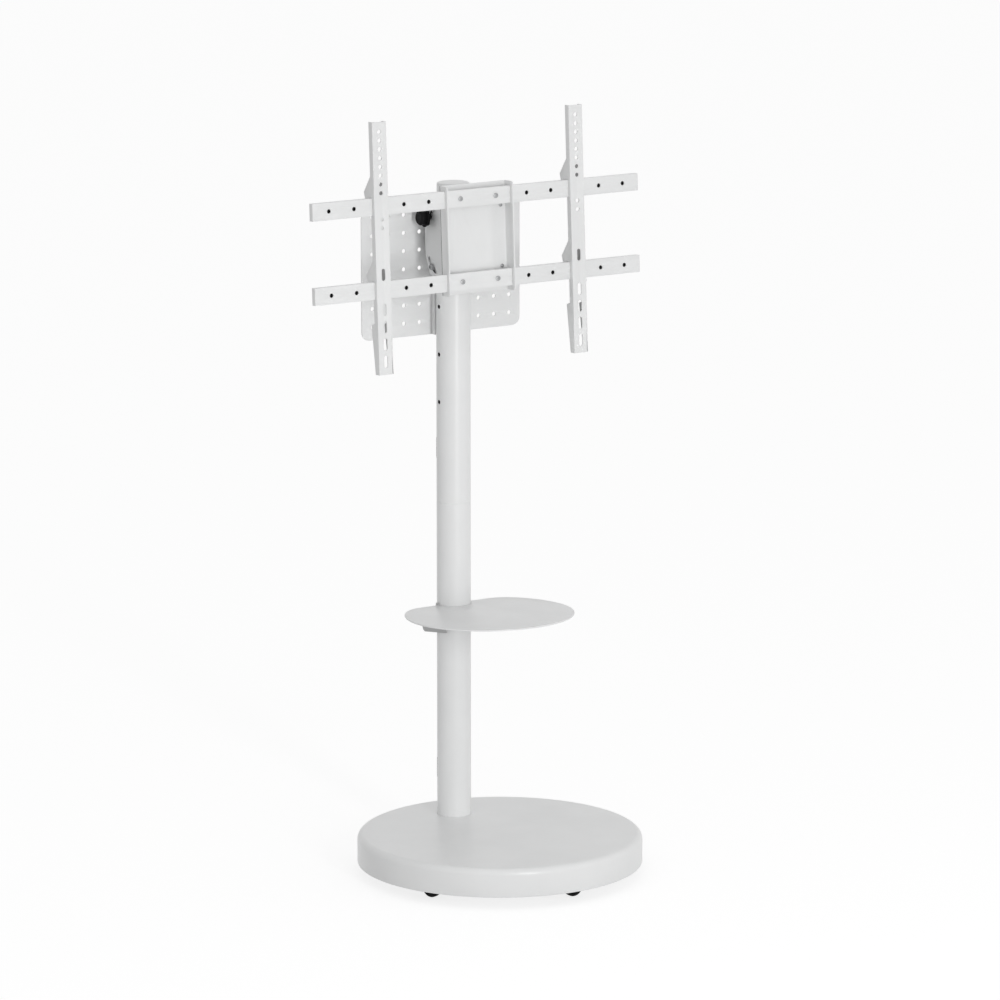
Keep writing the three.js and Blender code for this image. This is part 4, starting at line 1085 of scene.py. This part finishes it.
def build_ears():
    knob = HEAD.inverted() @ (sum(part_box("tilt_knob_stud"), Vector()) / 2)
    lock = HEAD.inverted() @ (sum(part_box("tilt_lock_bolt_left"), Vector()) / 2)
    slots = [tilt_slot(knob, KNOB_STUD_RADIUS + SLOT_GAP), tilt_slot(lock, LOCK_SHANK + SLOT_GAP),
             circle(0, 0, PIVOT_HOLE_RADIUS)]
    for side, name in ((-1, "tilt_ear_left"), (1, "tilt_ear_right")):
        low, high = box_in(HEAD, name)
        inner = high.x if side < 0 else low.x
        reach = low.x if side < 0 else high.x
        front = low.y
        outline = [
            (front, -EAR_FOOT_HALF_HEIGHT), (front + EAR_THICKNESS, -EAR_HALF_HEIGHT),
            (EAR_CHAMFER_Y, -EAR_HALF_HEIGHT), (high.y, -EAR_SHOULDER), (high.y, EAR_SHOULDER),
            (EAR_CHAMFER_Y, EAR_HALF_HEIGHT), (front + EAR_THICKNESS, EAR_HALF_HEIGHT),
            (front, EAR_FOOT_HALF_HEIGHT),
        ]
        cheek_span = sorted((inner, inner + side * EAR_THICKNESS))
        foot_span = sorted((inner, reach))
        cheek = prism("X", outline, *cheek_span, slots)
        foot = block(*foot_span, front, front + EAR_THICKNESS, -EAR_FOOT_HALF_HEIGHT, EAR_FOOT_HALF_HEIGHT)
        made = add(name, union(cheek, foot), "white_coat", "head", place=HEAD)
        near = EAR_THICKNESS / 2 - SEAM_LIP
        middle = sum(cheek_span) / 2
        # Painted shade: the walls of the curved slots take the dark tone
        leave_bare_and_shade(made, HEAD, lambda c: abs(c.x - middle) < near and in_slot(c, (knob, lock)))


def build_crossbars():
    """Closed tubes, with their row of holes in the front wall only."""
    for name in BARS:
        low, high = box_in(HEAD, name)
        z = (low.z + high.z) / 2
        wall = Vector((BAR_WALL,) * 3)
        inside_low, inside_high = low + wall, high - wall
        hole_x = [side * (BAR_INNER_HOLE + i * BAR_HOLE_PITCH)
                  for side in (-1, 1) for i in range(BAR_SIDE_HOLES)]
        holes = [moved(rod("Y", BAR_HOLE_RADIUS, low.y - OVERRUN, inside_low.y + OVERRUN), (x, 0, z))
                 for x in hole_x]
        hollow = block_between(inside_low, inside_high)
        bar = cut(cut(block_between(low, high), hollow), *holes)
        made = add(name, bar, "white_coat", "head", place=HEAD)
        leave_bare_and_shade(made, HEAD, lambda c: all(
            inside_low[k] - EDGE < c[k] < inside_high[k] + EDGE for k in range(3)))


def build_front_screws():
    """The screws that hold the bars and the ears to the tray, with their heads to the front."""
    for kind, height in FRONT_SCREW_HEADS.items():
        for i in range(1, FRONT_SCREW_COUNT + 1):
            name = f"{kind}_{i}"
            low, high = box_in(HEAD, name)
            radius = (high.x - low.x) / 2
            made = screw("-Y", (low + high) / 2, radius, height, low.y, high.y - OVERRUN,
                         FRONT_SOCKET_DEPTH_SHARE, FRONT_SHANK_SHARE)
            add(name, made, "steel", "head", edge=0, place=HEAD)


# Arms

ARM_WALL = 0.002
ARM_PROUD = 0.0075
# The share of the dark tone on the inner faces of the arms' flanges: painted shade
ARM_INSIDE_SHADE = 0.6
ARM_FLANGE_REACH = 0.004
ARM_HOLE_RADIUS = 0.0036
ARM_HOLE_PITCH = 0.015
ARM_HOLE_COUNT = 12
ARM_FIRST_HOLE = 0.2005
ARM_SLOT_LENGTH = 0.021
ARM_SLOT_PITCH = 0.030
ARM_SLOT_COUNT = 6
ARM_FIRST_SLOT = -0.0445
ARM_BOLT = (0.0036, 0.003, 0.0025)
HOOK_REACH = 0.026
HOOK_START = 0.037
HOOK_SHOULDER = 0.009
HOOK_LIP = 0.012
HOOK_LIP_DEPTH = 0.009
SKIRT_TOP = -0.129
SKIRT_REACH = 0.014
SKIRT_STEP = 0.003
SKIRT_TOE = 0.005


def arm_side(bottom, top):
    """An arm's flange seen from the side, as (y, z) pairs from the bars' front faces."""
    bar_boxes = {name: box_in(HEAD, name) for name in BARS}

    def hook(name):
        low, high = bar_boxes[name]
        z = (low.z + high.z) / 2
        seat = (high.z - low.z) / 2 + GAP
        behind = high.y - low.y + GAP
        return [
            (ARM_FLANGE_REACH, z - seat), (-GAP, z - seat), (-GAP, z + seat), (behind, z + seat),
            (behind, z + seat - HOOK_LIP), (behind + HOOK_LIP_DEPTH, z + seat - HOOK_LIP),
            (HOOK_REACH, z + seat + HOOK_SHOULDER), (ARM_FLANGE_REACH, z + seat + HOOK_START),
        ]

    return [
        (-ARM_PROUD, top), (-ARM_PROUD, bottom), (SKIRT_TOE, bottom),
        (SKIRT_REACH, SKIRT_TOP - SKIRT_STEP), (ARM_FLANGE_REACH, SKIRT_TOP),
        *hook("crossbar_lower"), *hook("crossbar_upper"), (ARM_FLANGE_REACH, top),
    ]


def clear_of_bars(first, pitch, count, half_length):
    """The heights of a row of holes, without those that would lie in front of a bar."""
    bars = [box_in(HEAD, name) for name in BARS]
    heights = [first - i * pitch for i in range(count)]
    return [z for z in heights if all(z > b.z + half_length or z < a.z - half_length for a, b in bars)]


def build_arms():
    bar_front = box_in(HEAD, "crossbar_upper")[0].y
    for name in ("arm_left", "arm_right"):
        low, high = box_in(HEAD, name)
        centre = Vector(((low.x + high.x) / 2, bar_front, 0))
        half = (high.x - low.x) / 2
        rounds = clear_of_bars(ARM_FIRST_HOLE, ARM_HOLE_PITCH, ARM_HOLE_COUNT, ARM_HOLE_RADIUS)
        slots = clear_of_bars(ARM_FIRST_SLOT, ARM_SLOT_PITCH, ARM_SLOT_COUNT, ARM_SLOT_LENGTH / 2)
        holes = [circle(0, z, ARM_HOLE_RADIUS) for z in rounds]
        holes += [stadium(0, z, 2 * ARM_HOLE_RADIUS, ARM_SLOT_LENGTH) for z in slots]
        web = prism("Y", rectangle(-half, half, low.z, high.z), -ARM_PROUD, ARM_WALL - ARM_PROUD, holes)
        flanges = [prism("X", arm_side(low.z, high.z), x, x + ARM_WALL) for x in (-half, half - ARM_WALL)]
        arm = moved(union(web, *flanges), centre)
        made = add(name, arm, "white_coat", name, place=HEAD)
        inner = half - ARM_WALL
        # Painted shade on the inner faces of the flanges, which show through the holes
        leave_bare_and_shade(made, HEAD, lambda c: ARM_INSIDE_SHADE * (abs(abs(c.x - centre.x) - inner) < SEAM_LIP))
        build_arm_bolt(name)


def build_arm_bolt(arm_name):
    """The bolt below the lower bar, coated like its arm."""
    name = arm_name.replace("arm", "arm_bolt")
    low, high = box_in(HEAD, name)
    bolt = hexagon_bolt("X", (low + high) / 2, ARM_BOLT, high.x, low.x + OVERRUN)
    piece(f"{name}_look", bolt, FINISHES["white_coat"], arm_name, [name], "steel", place=HEAD)


# Studio

FLOOR_HALF = 60.0
FLOOR_DIFFUSE = 0.8
FLOOR_SEEN_DIFFUSE = 0.30
FLOOR_SEEN_GLOW = 0.785
BACKDROP_SEEN = 0.985
SKY_RANGE = (0.555, 0.675)
SKY_HEADING = math.radians(90)
STRIP_POWER = 78.0
STRIP_SIZE = (0.5, 2.6)
STRIP_DISTANCE = 4.5
STRIP_HEADING = math.radians(-10)
STRIP_HEIGHT = 1.1


def seen_ray(tree):
    """1 on rays that show the backdrop: from the camera, or by way of a gloss or glass."""
    path = tree.nodes.new("ShaderNodeLightPath")
    value = path.outputs["Is Camera Ray"]
    for name in ("Is Glossy Ray", "Is Transmission Ray"):
        either = tree.nodes.new("ShaderNodeMath")
        either.operation = "MAXIMUM"
        tree.links.new(value, either.inputs[0])
        tree.links.new(path.outputs[name], either.inputs[1])
        value = either.outputs["Value"]
    return value


def show(tree, lighting, seen, output):
    """Lets one shader light the scene and the other be seen."""
    mix = tree.nodes.new("ShaderNodeMixShader")
    tree.links.new(seen_ray(tree), mix.inputs["Fac"])
    tree.links.new(lighting, mix.inputs[1])
    tree.links.new(seen, mix.inputs[2])
    tree.links.new(mix.outputs["Shader"], tree.nodes[output].inputs["Surface"])


def build_world():
    world = bpy.data.worlds.new("studio")
    bpy.context.scene.world = world
    world.use_nodes = True
    tree = world.node_tree
    light = tree.nodes["Background"]
    seen = tree.nodes.new("ShaderNodeBackground")
    seen.inputs["Color"].default_value = (BACKDROP_SEEN,) * 3 + (1,)
    where = tree.nodes.new("ShaderNodeTexCoord")
    toward = tree.nodes.new("ShaderNodeVectorMath")
    toward.operation = "DOT_PRODUCT"
    toward.inputs[1].default_value = (math.sin(SKY_HEADING), -math.cos(SKY_HEADING), 0)
    tree.links.new(where.outputs["Generated"], toward.inputs[0])
    strength = mapped(tree, toward.outputs["Value"], (-1, 1), SKY_RANGE)
    tree.links.new(strength, light.inputs["Strength"])
    light.inputs["Color"].default_value = (1, 1, 1, 1)
    show(tree, light.outputs["Background"], seen.outputs["Background"], "World Output")


def build_floor():
    bm = bmesh.new()
    corners = rectangle(-FLOOR_HALF, FLOOR_HALF, -FLOOR_HALF, FLOOR_HALF)
    bm.faces.new([bm.verts.new((x, y, 0)) for x, y in corners])
    data = to_data("floor", bm)
    floor = linked("floor", data)
    material = bpy.data.materials.new("floor")
    material.use_nodes = True
    tree = material.node_tree
    tree.nodes.remove(tree.nodes["Principled BSDF"])
    plain = tree.nodes.new("ShaderNodeBsdfDiffuse")
    plain.inputs["Color"].default_value = (FLOOR_DIFFUSE,) * 3 + (1,)
    shaded = tree.nodes.new("ShaderNodeBsdfDiffuse")
    shaded.inputs["Color"].default_value = (FLOOR_SEEN_DIFFUSE,) * 3 + (1,)
    glow = tree.nodes.new("ShaderNodeEmission")
    glow.inputs["Strength"].default_value = FLOOR_SEEN_GLOW
    both = tree.nodes.new("ShaderNodeAddShader")
    tree.links.new(shaded.outputs["BSDF"], both.inputs[0])
    tree.links.new(glow.outputs["Emission"], both.inputs[1])
    show(tree, plain.outputs["BSDF"], both.outputs["Shader"], "Material Output")
    data.materials.append(material)


def build_strip_light():
    """A tall narrow lamp to the front, for the upright highlight on the column and the base."""
    lamp = bpy.data.lights.new("strip", "AREA")
    lamp.shape = "RECTANGLE"
    lamp.size, lamp.size_y = STRIP_SIZE
    lamp.energy = STRIP_POWER
    holder = linked("strip", lamp)
    place = Vector((math.sin(STRIP_HEADING), -math.cos(STRIP_HEADING), 0)) * STRIP_DISTANCE
    holder.location = place + Vector((0, 0, STRIP_HEIGHT))
    holder.rotation_euler = (-place).to_track_quat("-Z", "Y").to_euler()


def build_camera():
    camera = bpy.data.cameras.new("camera")
    camera.lens = CAMERA_LENS
    camera.sensor_width = SENSOR_WIDTH
    holder = linked("camera", camera)
    holder.location = CAMERA_PLACE
    holder.rotation_euler = (CAMERA_PITCH, 0, CAMERA_HEADING)
    bpy.context.scene.camera = holder


finish_solids()
build_base()
build_casters()
build_column()
build_rear_screws()
build_shelf()
build_carriage()
build_knob()
build_equipment_plate()
build_tray()
build_ears()
build_crossbars()
build_front_screws()
build_arms()
build_world()
build_floor()
build_strip_light()
build_camera()
bpy.context.scene.view_settings.view_transform = "Standard"
